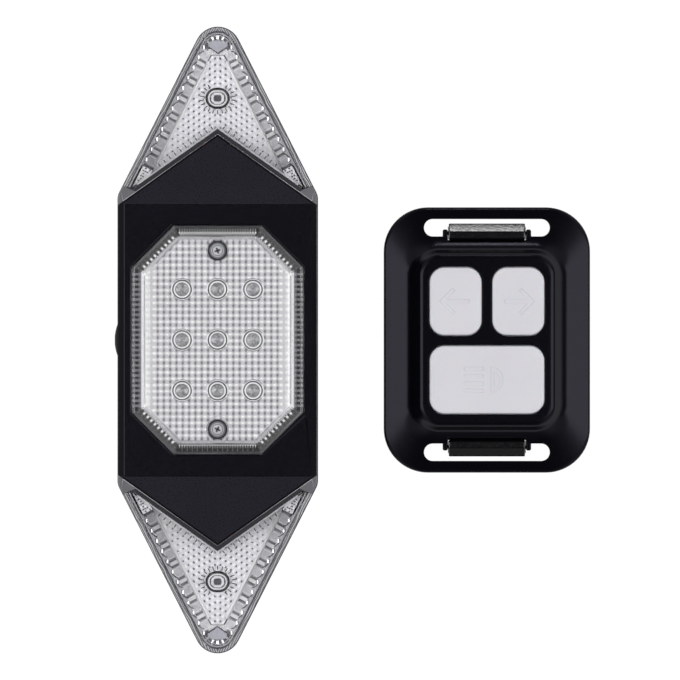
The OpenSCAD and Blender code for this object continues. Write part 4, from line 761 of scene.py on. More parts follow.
def pillow_tree():
    """Lays Columns by Rows pillows, Pitch apart and Rise high, at height Level, inside a field
    of Half Width, Half Length and Corner (the most that x and y may add up to)."""
    tree = bpy.data.node_groups.new("pillow field", "GeometryNodeTree")
    face = tree.interface
    face.new_socket("Geometry", in_out="INPUT", socket_type="NodeSocketGeometry")
    for name, kind, value in (("Columns", "Int", 8), ("Rows", "Int", 8), ("Steps", "Int", 6),
                              ("Pitch", "Float", 0.002), ("Rise", "Float", 0.0003),
                              ("Level", "Float", 0.0), ("Half Width", "Float", 0.02),
                              ("Half Length", "Float", 0.03), ("Corner", "Float", 0.04)):
        made = face.new_socket(name, in_out="INPUT", socket_type="NodeSocket" + kind)
        made.default_value = value
    face.new_socket("Finish", in_out="INPUT", socket_type="NodeSocketMaterial")
    face.new_socket("Geometry", in_out="OUTPUT", socket_type="NodeSocketGeometry")
    given = put(tree, "NodeGroupInput").outputs
    grid = {}
    for axis, name in (("X", "Columns"), ("Y", "Rows")):
        grid["Size " + axis] = put(tree, MATHS, {0: given[name], 1: given["Pitch"]},
                                   operation="MULTIPLY")
        grid["Vertices " + axis] = put(tree, MATHS, {0: given[name], 1: given["Steps"], 2: 1.0},
                                       operation="MULTIPLY_ADD")
    sheet = put(tree, "GeometryNodeMeshGrid", grid).outputs["Mesh"]
    here = put(tree, "GeometryNodeInputPosition")
    parts = put(tree, "ShaderNodeSeparateXYZ", {0: here}).outputs
    # A crown every Pitch: half a pitch beside the middle line along X, PILLOW_ROW along Y
    waves = []
    for axis, shift in (("X", 0.5), ("Y", PILLOW_ROW / PILLOW)):
        turn = put(tree, MATHS, {0: parts[axis], 1: given["Pitch"]}, operation="DIVIDE")
        turn = put(tree, MATHS, {0: turn, 1: shift}, operation="SUBTRACT")
        turn = put(tree, MATHS, {0: turn, 1: 2 * pi}, operation="MULTIPLY")
        waves.append(put(tree, MATHS, {0: turn}, operation="COSINE"))
    crown = put(tree, MATHS, {0: waves[0], 1: waves[1]}, operation="ADD")
    quarter = put(tree, MATHS, {0: given["Rise"], 1: 0.25}, operation="MULTIPLY")
    lift = put(tree, MATHS, {0: crown, 1: quarter, 2: given["Level"]}, operation="MULTIPLY_ADD")
    raised = put(tree, "GeometryNodeSetPosition",
                 {"Geometry": sheet, "Offset": put(tree, "ShaderNodeCombineXYZ", {"Z": lift})})
    side_x, side_y = [put(tree, MATHS, {0: parts[axis]}, operation="ABSOLUTE") for axis in "XY"]
    both = put(tree, MATHS, {0: side_x, 1: side_y}, operation="ADD")
    outside = [put(tree, MATHS, {0: value, 1: given[limit]}, operation="GREATER_THAN")
               for value, limit in ((side_x, "Half Width"), (side_y, "Half Length"),
                                    (both, "Corner"))]
    holes = [(*place[:2], LED_HOLE_R) for place in LED_PLACES]
    holes += [(0, -SCREW_Y, SCREW_HOLE_R), (0, SCREW_Y, SCREW_HOLE_R)]
    for x, y, radius in holes:
        squares = []
        for axis, middle in (("X", x), ("Y", y)):
            run = put(tree, MATHS, {0: parts[axis], 1: middle * MM}, operation="SUBTRACT")
            squares.append(put(tree, MATHS, {0: run, 1: 2.0}, operation="POWER"))
        reach = put(tree, MATHS, {0: squares[0], 1: squares[1]}, operation="ADD")
        reach = put(tree, MATHS, {0: reach}, operation="SQRT")
        outside.append(put(tree, MATHS, {0: reach, 1: radius * MM}, operation="LESS_THAN"))
    trimmed = outside[0]
    for other in outside[1:]:
        trimmed = put(tree, MATHS, {0: trimmed, 1: other}, operation="MAXIMUM")
    kept = put(tree, "GeometryNodeDeleteGeometry",
               {"Geometry": raised, "Selection": trimmed}, domain="POINT")
    finished = put(tree, "GeometryNodeSetMaterial",
                   {"Geometry": kept, "Material": given["Finish"]})
    put(tree, "NodeGroupOutput", {0: finished})
    return tree


FIELD_INSET = BEVEL + 0.12
SHEET_Z = 24.75
pillow_field = link_mesh("pillow_field", bpy.data.meshes.new("pillow_field"))
nodes = pillow_field.modifiers.new("pillows", "NODES")
nodes.node_group = pillow_tree()
ids = socket_ids(nodes.node_group)
half_w, half_l = CENTRE_W / 2 - FIELD_INSET, CENTRE_L / 2 - FIELD_INSET
corner_cut = CENTRE_CUT - CUT_SHARE * FIELD_INSET
for name, value in (("Columns", 24), ("Rows", 32), ("Steps", 8), ("Pitch", PILLOW * MM),
                    ("Rise", 0.3 * MM), ("Level", SHEET_Z * MM), ("Half Width", half_w * MM),
                    ("Half Length", half_l * MM),
                    ("Corner", (half_w + half_l - corner_cut) * MM), ("Finish", PILLOWS)):
    nodes[ids[name]] = value
settle(pillow_field, 60)
seat(pillow_field, "light", "clear_lens")

# %% [markdown]
# Under the border lies a ring with three steps. Ridges in the form of small roofs are stamped on it
# side by side along each of the eight sides, 1.37 mm apart or twice as dense. The rows differ with
# the light that falls on each side, which is painted into their finishes: the upper side is bright
# far out, the lower side only further in, the corners have broad teeth, and the long sides have soft
# stripes and then a plain bright band.

# %% Rings that follow the lens's outline
def octagon_ring(name, profile):
    """A closed ring whose section is a list of (inset, height) points."""
    points = [(x, y, z) for inset, z in profile for x, y in octagon(inset)]
    count = len(profile)
    faces = [(8 * i + k, 8 * i + (k + 1) % 8, 8 * ((i + 1) % count) + (k + 1) % 8,
              8 * ((i + 1) % count) + k) for i in range(count) for k in range(8)]
    return from_points(name, points, faces)


def side_insets(point):
    """How far a point lies inside the lens's long sides, its ends and its corners, in mm."""
    x, y = abs(point.x), abs(point.y)
    return (CENTRE_W / 2 - x, CENTRE_L / 2 - y,
            (CENTRE_W / 2 + CENTRE_L / 2 - CENTRE_CUT - x - y) / 2 ** 0.5)


def inset_of(point):
    """How far a point lies inside the lens's outline, in mm."""
    return min(side_insets(point))


def on_long_side(point):
    """Whether a point is nearer to a long side of the lens than to its other sides."""
    long_side, *others = side_insets(point)
    return long_side < min(others)


END_MARGIN = 0.3


def along_border(inset, pitch, sides, shift=0.0):
    """Places pitch mm apart along the given sides, turned so that X points outwards, and
    moved by a share of the pitch."""
    out = []
    corners = octagon(inset)
    for k in sides:
        a, b = Vector(corners[k]), Vector(corners[(k + 1) % 8])
        room = (b - a).length / 2 - END_MARGIN
        count = int(room / pitch)
        for i in range(-count, count + 1):
            if abs((i + shift) * pitch) < room:
                spot = (a + b) / 2 + (b - a).normalized() * (i + shift) * pitch
                out.append((spot.x, spot.y, 0.0, 45 * k))
    return out


BAR_PITCH = 1.37
SLOPING, LONG = (1, 2, 3, 5, 6, 7), (0, 4)


def lip_faces(centre, normal):
    """1, dark grey, on the long sides, painted lighter as they are lit from the side, and along the
    lip's middle; 0, nearly black painted shade, elsewhere.
    """
    return int(on_long_side(centre) or 0.8 < inset_of(centre) < 1.1 and normal.z > 0.5)


LIP_Z = 22.8
lip_ring = octagon_ring("lip_ring", [(0.05, 22.5), (0.05, LIP_Z), (0.5, LIP_Z), (0.8, LIP_Z),
                                     (1.1, 22.85), (1.75, 22.85), (1.75, 22.5)])
paint(lip_ring, RING_SHADE, PRISM_DARK, choose=lip_faces)
seat(lip_ring, "light", "rubber_grey", "centre_lens_seal")

for name, outer_x, inner_x, half, inset, sides in (
        ("lip_dashes", 0.15, -0.15, 0.4, 0.27, SLOPING),
        ("lip_stripes", 0.45, -0.55, 0.36, 0.6, LONG)):
    dash = block("template", (inner_x, -half, LIP_Z), (outer_x, half, LIP_Z + 0.15))
    seat(stamped(name, dash, along_border(inset, BAR_PITCH, sides), PRISM_GREY), "light",
         "clear_lens")

# The bed's three steps and the low ridge at its inner edge, then back along its underside
LOW_STEP, MIDDLE_STEP, HIGH_STEP = 23.1, 23.55, 24.15
BED = [(1.15, LOW_STEP), (2.02, LOW_STEP), (2.08, MIDDLE_STEP), (2.62, MIDDLE_STEP),
       (2.88, MIDDLE_STEP), (3.02, MIDDLE_STEP), (3.08, HIGH_STEP), (3.6, HIGH_STEP),
       (3.66, 24.72), (3.92, 24.8), (3.95, 24.52), (4.1, 24.52), (4.1, 24.4), (3.3, 24.0),
       (3.02, 23.42), (2.08, 23.4), (2.02, 22.95), (1.15, 22.95)]
border_bed = octagon_ring("border_bed", BED)


def bed_faces(centre, normal):
    """0 to 4: black, dark, grey, pale or white. The dark ones are painted shade, and the long sides,
    lit from the side, are painted bright nearer their edge.
    """
    inset = inset_of(centre)
    if normal.z < 0:
        return 0
    if on_long_side(centre):
        return 0 if inset < 2.05 else 1 if inset < 2.62 else 2 if inset < 2.9 else 4
    return 0 if inset < 3.02 else 1 if inset < 3.62 else 3


paint(border_bed, BED_BLACK, PRISM_DARK, PRISM_GREY, PRISM_PALE, PRISM_WHITE, choose=bed_faces)
seat(border_bed, "light", "clear_lens")


# %% Ridges on the steps
RIDGE_LEAN = 20


def ridge(length, width, foot):
    """A roof-shaped template: length across the band, its eaves foot mm high."""
    x, y = length / 2, width / 2
    top = foot + y * tan(radians(RIDGE_LEAN))
    return from_points("template", [
        (x, -y, foot), (x, y, foot), (-x, y, foot), (-x, -y, foot), (x - 0.04, 0, top),
        (0.04 - x, 0, top)],
        [(0, 3, 2, 1), (0, 4, 5, 3), (1, 2, 5, 4), (0, 1, 4), (2, 3, 5)])


FINE, RIDGE_FOOT = BAR_PITCH / 2, 0.02
UPPER_SIDE, LOWER_SIDE, CORNERS = (2,), (6,), (1, 3, 5, 7)
# name, step, length, width, inset, pitch, sides, shift along the side in pitches, finish
RIDGE_ROWS = [
    ("outer_teeth", LOW_STEP, 0.8, 0.1, 1.6, FINE, UPPER_SIDE, 0, PRISM_BRIGHT),
    ("outer_teeth_corner", LOW_STEP, 0.5, 0.24, 1.75, BAR_PITCH, CORNERS, 0, PRISM_SMOKE),
    ("outer_teeth_lower", LOW_STEP, 0.7, 0.2, 1.6, BAR_PITCH, LOWER_SIDE, 0, PRISM_SMOKE),
    ("middle_teeth", MIDDLE_STEP, 0.54, 0.44, 2.32, FINE, UPPER_SIDE, 0, PRISM_BRIGHT),
    ("middle_teeth_corner", MIDDLE_STEP, 0.8, 0.62, 2.6, BAR_PITCH, CORNERS, 0, PRISM_BRIGHT),
    ("middle_teeth_lower", MIDDLE_STEP, 0.5, 0.1, 2.35, FINE, LOWER_SIDE, 0, PRISM_BRIGHT),
    ("seam_teeth", MIDDLE_STEP, 0.34, 0.26, 2.82, FINE, UPPER_SIDE, 0.5, PRISM_BRIGHT),
    ("seam_teeth_lower", MIDDLE_STEP, 0.34, 0.4, 2.83, FINE, LOWER_SIDE, 0, PRISM_BRIGHT),
    ("inner_teeth", HIGH_STEP, 0.48, 0.26, 3.34, FINE, UPPER_SIDE, 0.5, PRISM_BRIGHT),
    ("inner_teeth_lower", HIGH_STEP, 0.48, 0.26, 3.34, FINE, LOWER_SIDE, 0.5, PRISM_BRIGHT),
    ("inner_teeth_corner", HIGH_STEP, 0.48, 0.36, 3.34, FINE, CORNERS, 0.5, PRISM_BRIGHT),
    ("long_dashes", LOW_STEP, 0.8, 0.6, 1.6, BAR_PITCH, LONG, 0, PRISM_GREY),
    ("long_bars", MIDDLE_STEP, 0.5, 0.8, 2.35, BAR_PITCH, LONG, 0, PRISM_GREY)]
for name, step, length, width, inset, pitch, sides, shift, finish in RIDGE_ROWS:
    row = stamped(name, ridge(length, width, step + RIDGE_FOOT),
                  along_border(inset, pitch, sides, shift), finish, 10)
    seat(row, "light", "clear_lens")

# %% [markdown]
# ## The nine diodes
#
# Each is a round 5 mm diode in a hole of the pillow sheet. From outside inwards one sees a thin dark
# ring, a pale collar, the dark gap, a bright rim and a dim silver disc. The ring and the gap are
# painted shade, darkest where they face up and down the light, away from the soft boxes at the sides.

# %% Centre diodes and their collars
lamp_profile = [(0, 15.6), (2.9, 15.6), (2.9, 16.6), (2.5, 16.6), (2.5, 24.3), (2.4, 24.34),
                (2.34, 24.6), (2.27, 24.7), (2.05, 24.72), (1.88, 24.66), (1.84, 24.45),
                (1.75, 24.5), (1.4, 24.66), (0.9, 24.78), (0.45, 24.83), (0, 24.84)]
centre_lamps = settle(spin("centre_lamps", lamp_profile, LED_PLACES), 50)


def from_lamp(centre):
    """Distance from the nearest diode's axis, and the share of it that is along Y."""
    spot = min(LED_PLACES, key=lambda p: hypot(centre.x - p[0], centre.y - p[1]))
    radius = hypot(centre.x - spot[0], centre.y - spot[1])
    return radius, abs(centre.y - spot[1]) / max(radius, 1e-6)


def lamp_faces(centre, normal):
    """0 on the bright rim, 1 in the cup, 2 in the painted shade on either side of the rim."""
    radius = from_lamp(centre)[0]
    if radius < 1.8:
        return 1
    return 2 if radius > 2.35 or radius < 1.87 else 0


paint(centre_lamps, LAMP_RING, LAMP_CUP, RING_SHADE, choose=lamp_faces)
seat(centre_lamps, "light", "diode", "centre_leds")

collar_profile = [(2.53, 24.4), (2.53, 24.8), (2.66, 24.96), (2.86, 24.96), (2.88, 24.86),
                  (3.04, 24.86), (3.08, 24.7), (3.08, 24.4), (2.53, 24.4)]
lamp_collars = settle(spin("lamp_collars", collar_profile, LED_PLACES), 50)


def collar_faces(centre, normal):
    """0 on the pale collar, 1 on the darkest painted shade, in the gap above and below the diode, 2
    on the other parts painted dark as shade.
    """
    radius, share = from_lamp(centre)
    if radius < 2.63:
        return 1 if share > 0.3 else 2
    return 2 if 2.87 < radius < 3.05 and share > 0.6 else 0


paint(lamp_collars, PRISM_WHITE, RING_SHADE, PRISM_DARK, choose=collar_faces)
seat(lamp_collars, "light", "clear_lens")

# %% Reflector tray under the field
centre_tray = dressed("centre_tray", "centre_reflector", 0.15)
paint(centre_tray, REFLECTOR_WHITE)
seat(centre_tray, "light", "white_reflector", "centre_reflector")

# %% [markdown]
# ## Screws
#
# All screws are pan heads with a cross recess, of several sizes. One function makes a screw as a
# turned head and thread with a cross cut into it, and the stamp puts it in its places. The washer
# faces of the lens round its two screws are a dark ring of painted shade with a pale rim.

# %% A screw template
THREAD_PITCH, THREAD_DEPTH = 0.45, 0.16


def screw_template(name, shank, head, head_h, length, recess):
    """A screw with its head up and the head's seat at height 0."""
    turns = int(length / THREAD_PITCH)
    thread = [(shank - THREAD_DEPTH * (i % 2), -0.1 - i * THREAD_PITCH / 2)
              for i in range(turns * 2)]
    crown = [(0, head_h), (head * 0.72, head_h), (head * 0.75, head_h - 0.16),
             (head * 0.83, head_h - 0.16), (head * 0.85, head_h - 0.01),
             (head * 0.96, head_h - 0.03), (head, head_h * 0.8), (head, 0), (shank, 0)]
    screw = spin(name, crown + thread + [(0, thread[-1][1] - 0.4)], steps=32)
    arm, half = recess, recess * 0.28
    deep = head_h * 0.4
    cut(screw, block("slot", (-arm, -half, deep), (arm, half, head_h + 1)),
        block("slot", (-half, -arm, deep), (half, arm, head_h + 1)))
    return screw


def upside_down(obj):
    """Turns a screw over, for the back."""
    obj.data.transform(Matrix.Rotation(pi, 4, "X"))
    return obj


# %% Screws of the centre lens, in dark counterbores
centre_screws = stamped("centre_screws", screw_template("template", 0.9, 1.75, 1.3, 7.0, 0.85),
                        [(0, SCREW_Y, SCREW_SEAT, 20), (0, -SCREW_Y, SCREW_SEAT, 65)],
                        ZINC_DULL)
# The cross recess and the groove round the head's crown are painted dark as shade.
paint(centre_screws, ZINC_DULL, RING_SHADE, choose=lambda centre, normal: int(
    24.85 < centre.z < 25.62 and hypot(centre.x, abs(centre.y) - SCREW_Y) < 1.5))
seat(centre_screws, "light", "screw_steel", "centre_lens_screws")

washer_profile = [(1.8, 24.42), (1.8, 24.62), (1.9, 24.7), (2.16, 24.7), (2.5, 24.66),
                  (2.68, 24.6), (2.7, 24.42), (1.8, 24.42)]
screw_places = [(0, SCREW_Y, 0), (0, -SCREW_Y, 0)]
screw_washers = settle(spin("screw_washers", washer_profile, screw_places), 40)
# Outside 2.16 mm the washer is painted dark as the shade in the counterbore.
paint(screw_washers, RING_SHADE, PRISM_GREY, choose=lambda centre, normal: int(
    hypot(centre.x, abs(centre.y) - SCREW_Y) < 2.16))
seat(screw_washers, "light", "rubber_grey")

# %% Screws in the back
REMOTE_X, END_SCREW_Y = 73.0, 65.4
REAR_SCREW_X, REAR_SCREW_Y, PAN_SCREW_X, PAN_SCREW_Y = 19, 36, 17.2, 23.8
FOUR = [(x, y) for x in (-1, 1) for y in (-1, 1)]
# name, body, node, (shank and head radius, head height, length, recess), places
BACK_SCREWS = [
    ("rear_screws", "light", "housing_screws", (1.25, 2.3, 1.5, 12.0, 1.3),
     [(x * REAR_SCREW_X, y * REAR_SCREW_Y, 2.0, 15 + 30 * x + 10 * y) for x, y in FOUR]),
    ("end_screws", "light", "end_lens_screws", (1.0, 1.9, 1.3, 9.0, 1.1),
     [(0, END_SCREW_Y, 1.8, 40), (0, -END_SCREW_Y, 1.8, 5)]),
    ("remote_pan_screws", "remote", "remote_screws", (0.9, 1.85, 1.3, 5.6, 1.05),
     [(REMOTE_X + x * PAN_SCREW_X, y * PAN_SCREW_Y, 4.0, 25 * x + 50 * y) for x, y in FOUR])]
for name, body, node, sizes, places in BACK_SCREWS:
    screws = stamped(name, upside_down(screw_template("template", *sizes)), places, ZINC)
    seat(screws, body, "screw_steel", node)

# %% [markdown]
# ## The clear ends
#
# Each end is a clear arrowhead cup over diodes and a bright panel. Looking straight down one sees,
# from outside inwards: the wall as a grey band, a fine dark line of painted shade, a pale ledge, a
# row of bright sparks with dark slanting bars of painted shade, the diodes, and the panel with its
# dots. All of this is laid out for the right-hand taper of the upper end. Mirroring gives the left
# one, and half a turn gives the lower end.

# %% The light's outline in Python, as in the CAD source
HALF_W, HALF_L, TIP_R, SIDE_HALF, SHOULDER_R = 27.2, 85.0, 6.3, 39.2, 4.0
TIP_Y = HALF_L - TIP_R
REACH = hypot(HALF_W, TIP_Y - SIDE_HALF)
TAPER = atan(HALF_W / (TIP_Y - SIDE_HALF)) - asin(TIP_R / REACH)
TAPER_DEG = TAPER * 180 / pi
TAPER_L = REACH * cos(asin(TIP_R / REACH))
FOLD_Y, FACE_Z, TIP_DROP = 36.9, 24.0, 9.0
FALL = TIP_DROP / (HALF_L - FOLD_Y)
V_APEX, V_FOOT = 55.4, 36.2
V_SLOPE = (V_APEX - V_FOOT) / HALF_W
V_ANGLE = atan(V_SLOPE)
# The clear ends stand back a little from the housing's edge, and their sides are chamfered.
V_WALL, LENS_TOP, V_GAP, LENS_INSET, SIDE_CHAMFER = 1.3, 1.8, 0.15, 0.3, 1.4
PARTING_Z, BOARD_TOP = 9.0, 11.5


def taper_point(distance, inset):
    """A point on the right-hand taper: distance from the shoulder, inset from the outline."""
    return (HALF_W - inset * cos(TAPER) - distance * sin(TAPER),
            SIDE_HALF - inset * sin(TAPER) + distance * cos(TAPER))


def taper_inset(x, y):
    """How far a point lies inside the taper's outline, in mm."""
    return TIP_R - abs(x) * cos(TAPER) - (y - TIP_Y) * sin(TAPER)


def v_inset(x, y):
    """How far a point lies beyond the V, in mm."""
    return (y - V_APEX + V_SLOPE * abs(x)) * cos(V_ANGLE)


def top_z(y, below=0.0):
    """The height of the front surface at y, less below."""
    return FACE_Z - FALL * max(0.0, y - FOLD_Y) - below


def soften_corner(three, radius):
    """Points of a curve that rounds the middle one of three points."""
    before, here, after = (Vector(p) for p in three)
    a = (before - here).normalized()
    b = (after - here).normalized()
    reach = min(radius * tan((pi - a.angle(b)) / 2), (before - here).length * 0.95)
    out = []
    for t in (0, 0.25, 0.5, 0.75, 1):
        point = ((1 - t) ** 2 * (here + a * reach) + 2 * t * (1 - t) * here
                 + t * t * (here + b * reach))
        out.append((point.x, point.y))
    return out


def foot_point(distance, v_gap):
    """The point that lies v_gap beyond the V, straight inwards from a place on the taper."""
    depth = (v_inset(*taper_point(distance, 0)) - v_gap) / sin(TAPER + V_ANGLE)
    return taper_point(distance, depth)


def arrowhead(inset, v_gap, corner=None):
    """The upper end's outline, inset from the outside and v_gap beyond the V. It runs from the
    right foot by the tip to the apex of the V. With corner, the feet are cut off square that
    far along the tapers."""
    r = max(TIP_R - inset, 0.3)
    apex = V_APEX + v_gap / cos(V_ANGLE)
    tip = arc((0, TIP_Y), r, TAPER_DEG, 180 - TAPER_DEG, 10)
    tx, ty = tip[0]
    slope = -cos(TAPER) / sin(TAPER)
    x = (apex - ty + slope * tx) / (slope + V_SLOPE)
    side_x = HALF_W - inset
    if corner is not None:
        right = [foot_point(corner, v_gap), taper_point(corner, inset)]
    elif x > side_x:
        y_low, y_high = apex - V_SLOPE * side_x, ty + slope * (side_x - tx)
        right = [(side_x, y_low)] + soften_corner([(side_x, y_low), (side_x, y_high), tip[0]],
                                                  SHOULDER_R)
    else:
        right = [(x, apex - V_SLOPE * x)]
    left = [(-px, py) for px, py in reversed(right)]
    return right + tip + left + [(0, apex)]


def sloped(obj):
    """Cuts an end's solid along the front surface and its side chamfers."""
    shell = bmesh.new()
    shell.from_mesh(obj.data)
    side = HALF_W - LENS_INSET
    planes = [((0, FOLD_Y, FACE_Z), (0, FALL, 1)), ((0, 0, FACE_Z), (0, 0, 1))]
    planes += [((side * s, 0, FACE_Z - SIDE_CHAMFER), (s, 0, 1)) for s in (-1, 1)]
    for point, normal in planes:
        cut_now = bmesh.ops.bisect_plane(
            shell, geom=shell.verts[:] + shell.edges[:] + shell.faces[:], dist=1e-7,
            plane_co=Vector(point) * MM, plane_no=Vector(normal).normalized(), clear_outer=True)
        edges = [e for e in cut_now["geom_cut"] if isinstance(e, bmesh.types.BMEdge)]
        if edges:
            bmesh.ops.contextual_create(shell, geom=edges)
    bmesh.ops.recalc_face_normals(shell, faces=shell.faces)
    shell.to_mesh(obj.data)
    shell.free()
    return obj


def under_face(name, outline, low, below, thick=None):
    """A prism whose top follows the front surface, below mm under it. It stands on the height
    low, or is thick mm deep."""
    count = len(outline)
    bottom = [(x, y, low if thick is None else top_z(y, below + thick)) for x, y in outline]
    top = [(x, y, top_z(y, below)) for x, y in outline]
    faces = [(i, (i + 1) % count, count + (i + 1) % count, count + i) for i in range(count)]
    faces += [tuple(range(count - 1, -1, -1)), tuple(range(count, 2 * count))]
    return from_points(name, bottom + top, faces)


def both_sides(places):
    """Places, and their mirror images where they don't lie on the light's middle."""
    return places + [(-x, y, z, 180 - turn) for x, y, z, turn in places if abs(x) > 0.01]


def seat_both(obj, slot, upper_nodes=(), lower_nodes=()):
    """Seats an upper piece and its copy at the lower end, half a turn round the origin."""
    name = obj.name
    copy = link_mesh(name + "_lower", obj.data.copy())
    copy.data.transform(Matrix.Rotation(pi, 4, "Z"))
    obj.name = name + "_upper"
    seat(obj, "light", slot, *upper_nodes)
    seat(copy, "light", slot, *lower_nodes)


# %% [markdown]
# The cup is made as two pieces that touch: the wall with its solid corner blocks, and the clear
# window. The wall is polycarbonate too, but one looks down through ten millimetres of it. There
# it looks milky, with fine lines along the tapers, and darker at the V and in the corners. Its
# material mixes a plain share into the clear plastic and finds those zones by coordinates. The
# outside along the tapers, which shows from the side, is milky without the dark lines.

# %% Milky polycarbonate of the walls
WALL_SHOWN, CORNER_AT, WALL_LINES = 0.9, 3.1, 0.55


def wall_finish(name, dark, light, corner, at_the_v, plain):
    """Milky plastic: dark and light lines on the tapers, other colours in the corners and at the
    V, and a share plain of it not see-through."""
    material = clear(name, light, "#f8f8fa", 0.08, 0.006)
    tree = material.node_tree
    glass = next(n for n in tree.nodes if n.type == "BSDF_PRINCIPLED")
    place = put(tree, "ShaderNodeTexCoord").outputs["Object"]
    parts = put(tree, "ShaderNodeSeparateXYZ", {0: place}).outputs
    x, y = [put(tree, MATHS, {0: parts[axis]}, operation="ABSOLUTE") for axis in "XY"]
    across = put(tree, MATHS, {0: x, 1: cos(TAPER)}, operation="MULTIPLY")
    across = put(tree, MATHS, {0: y, 1: sin(TAPER), 2: across}, operation="MULTIPLY_ADD")
    drift = put(tree, "ShaderNodeTexNoise", {"Vector": place, "Scale": 1 / (7 * MM)})
    across = put(tree, MATHS, {0: drift.outputs["Fac"], 1: 1.2 * MM, 2: across},
                 operation="MULTIPLY_ADD")
    turn = put(tree, MATHS, {0: across, 1: 2 * pi / (WALL_LINES * MM)}, operation="MULTIPLY")
    lines = put(tree, "ShaderNodeMapRange",
                {0: put(tree, MATHS, {0: turn}, operation="COSINE"), 1: -0.8, 2: 0.8})
    colour = put(tree, "ShaderNodeMix", {0: lines, 6: linear(dark), 7: linear(light)},
                 data_type="RGBA").outputs[2]
    apex = V_APEX + (V_GAP + V_WALL + 0.05) / cos(V_ANGLE)
    beyond = put(tree, MATHS, {0: x, 1: V_SLOPE, 2: y}, operation="MULTIPLY_ADD")
    foot = CORNER_AT + 0.05 - HALF_W * sin(TAPER) + SIDE_HALF * cos(TAPER)
    along = put(tree, MATHS, {0: y, 1: cos(TAPER)}, operation="MULTIPLY")
    along = put(tree, MATHS, {0: x, 1: -sin(TAPER), 2: along}, operation="MULTIPLY_ADD")
    for value, limit, code in ((beyond, apex, at_the_v), (along, foot, corner)):
        zone = put(tree, MATHS, {0: value, 1: limit * MM}, operation="LESS_THAN")
        colour = put(tree, "ShaderNodeMix", {0: zone, 6: colour, 7: linear(code)},
                     data_type="RGBA").outputs[2]
    tree.links.new(colour, glass.inputs["Base Color"])
    glass.inputs["Transmission Weight"].default_value = 1 - plain
    return material


WALL_PC = wall_finish("clear polycarbonate, thick wall", "#6a6a70", "#f0f0f4", "#8a8a90",
                      "#4a4a50", 0.6)
WALL_SIDE = wall_finish("clear polycarbonate, milky side", "#b4b4ba", "#c4c4ca", "#8a8a90",
                        "#8a8a90", 0.6)


def wall_faces(centre, normal):
    """1 on the outside of the wall, along the tapers and round the tip."""
    outside = (taper_inset(centre.x, centre.y) < 0.6 or centre.y > TIP_Y
               and hypot(centre.x, centre.y - TIP_Y) > TIP_R - 0.6)
    return int(outside and abs(normal.z) < 0.3)


# %% Cup wall and window
wall = sloped(slab("end_wall", arrowhead(LENS_INSET, V_GAP), PARTING_Z, 30))
cut(wall, slab("hollow", arrowhead(LENS_INSET + WALL_SHOWN, V_GAP + V_WALL, CORNER_AT), 0, 40),
    block("lead_way", (-6.0, V_FOOT, PARTING_Z - 1), (-2.4, 59.4, 13.6)))
rounded(wall, 0.22, 3, 30)
paint(wall, WALL_PC, WALL_SIDE, choose=wall_faces)
seat_both(wall, "clear_lens", ("end_lens_upper",), ("end_lens_lower",))

window = under_face("end_window",
                    arrowhead(LENS_INSET + WALL_SHOWN + 0.02, V_GAP + V_WALL + 0.02,
                              CORNER_AT + 0.02), 0, 0.0, LENS_TOP)
paint(window, CLEAR_PC)
seat_both(window, "clear_lens")


# %% [markdown]
# Inside the wall follow a thin dark strip of painted shade, a pale ledge and a pale trough. All are
# strips along a path that runs up one taper, round the tip and down the other. The first two reach up
# to the window, the trough lies low.

# %% Strips along the wall
def along_wall(inset, start):
    """Points at that inset, from start mm up the right taper round the tip and down again."""
    right = [taper_point(start, inset)]
    tip = arc((0, TIP_Y), TIP_R - inset, TAPER_DEG, 180 - TAPER_DEG, 14)
    return right + tip + [(-x, y) for x, y in right]


def wall_strip(outside, inside, start):
    """The outline of a strip between two insets."""
    return along_wall(outside, start) + along_wall(inside, start)[::-1]


TROUGH_TOP = 12.4
# A thin dark strip just under the window, painted shade where the wall's inner edge shows dark.
shade_strip = under_face("end_gasket", wall_strip(1.24, 1.76, 3.3), PARTING_Z + 0.2, LENS_TOP + 0.05)
paint(shade_strip, PRISM_DARK)
seat_both(shade_strip, "rubber_grey")
ledge = under_face("end_ledge", wall_strip(1.8, 2.16, 3.3), PARTING_Z + 0.2, LENS_TOP + 0.2)
paint(ledge, PRISM_PALE)
seat_both(ledge, "white_reflector")
trough = slab("end_trough", wall_strip(2.18, 2.66, 3.6), BOARD_TOP - 0.5, TROUGH_TOP)
paint(trough, PRISM_WHITE)
seat_both(trough, "white_reflector")
for name, outside, inside in (("end_kerb", 2.68, 2.95), ("end_inner_kerb", 5.12, 5.58)):
    kerb = [slab(name, [taper_point(s, i) for s, i in ((11.0, outside), (43.6, outside),
                                                       (43.6, inside), (11.0, inside))],
                 BOARD_TOP + 0.02, BOARD_TOP + 0.75) for _ in (0, 1)]
    kerb[1].data.transform(Matrix.Diagonal((-1, 1, 1, 1)))
    kerb[1].data.flip_normals()
    kerb = fuse(*kerb)
    paint(kerb, PRISM_WHITE)
    seat_both(kerb, "white_reflector")


# %% Fine lines along the pillow sheet and the V
def bar_along(name, paths, radius, finish):
    """Round bars of the given radius along lists of points in mm."""
    data = bpy.data.curves.new(name, "CURVE")
    data.dimensions = "3D"
    data.bevel_depth = radius * MM
    data.bevel_resolution = 2
    data.use_fill_caps = True
    for path in paths:
        line = data.splines.new("POLY")
        line.points.add(len(path) - 1)
        for point, (x, y, z) in zip(line.points, path):
            point.co = (x * MM, y * MM, z * MM, 1)
    curve = bpy.data.objects.new(name, data)
    bpy.context.scene.collection.objects.link(curve)
    mesh = bpy.data.meshes.new_from_object(
        curve.evaluated_get(bpy.context.evaluated_depsgraph_get()))
    bpy.data.objects.remove(curve)
    bpy.data.curves.remove(data)
    obj = link_mesh(name, mesh)
    settle(obj, 40)
    return paint(obj, finish)


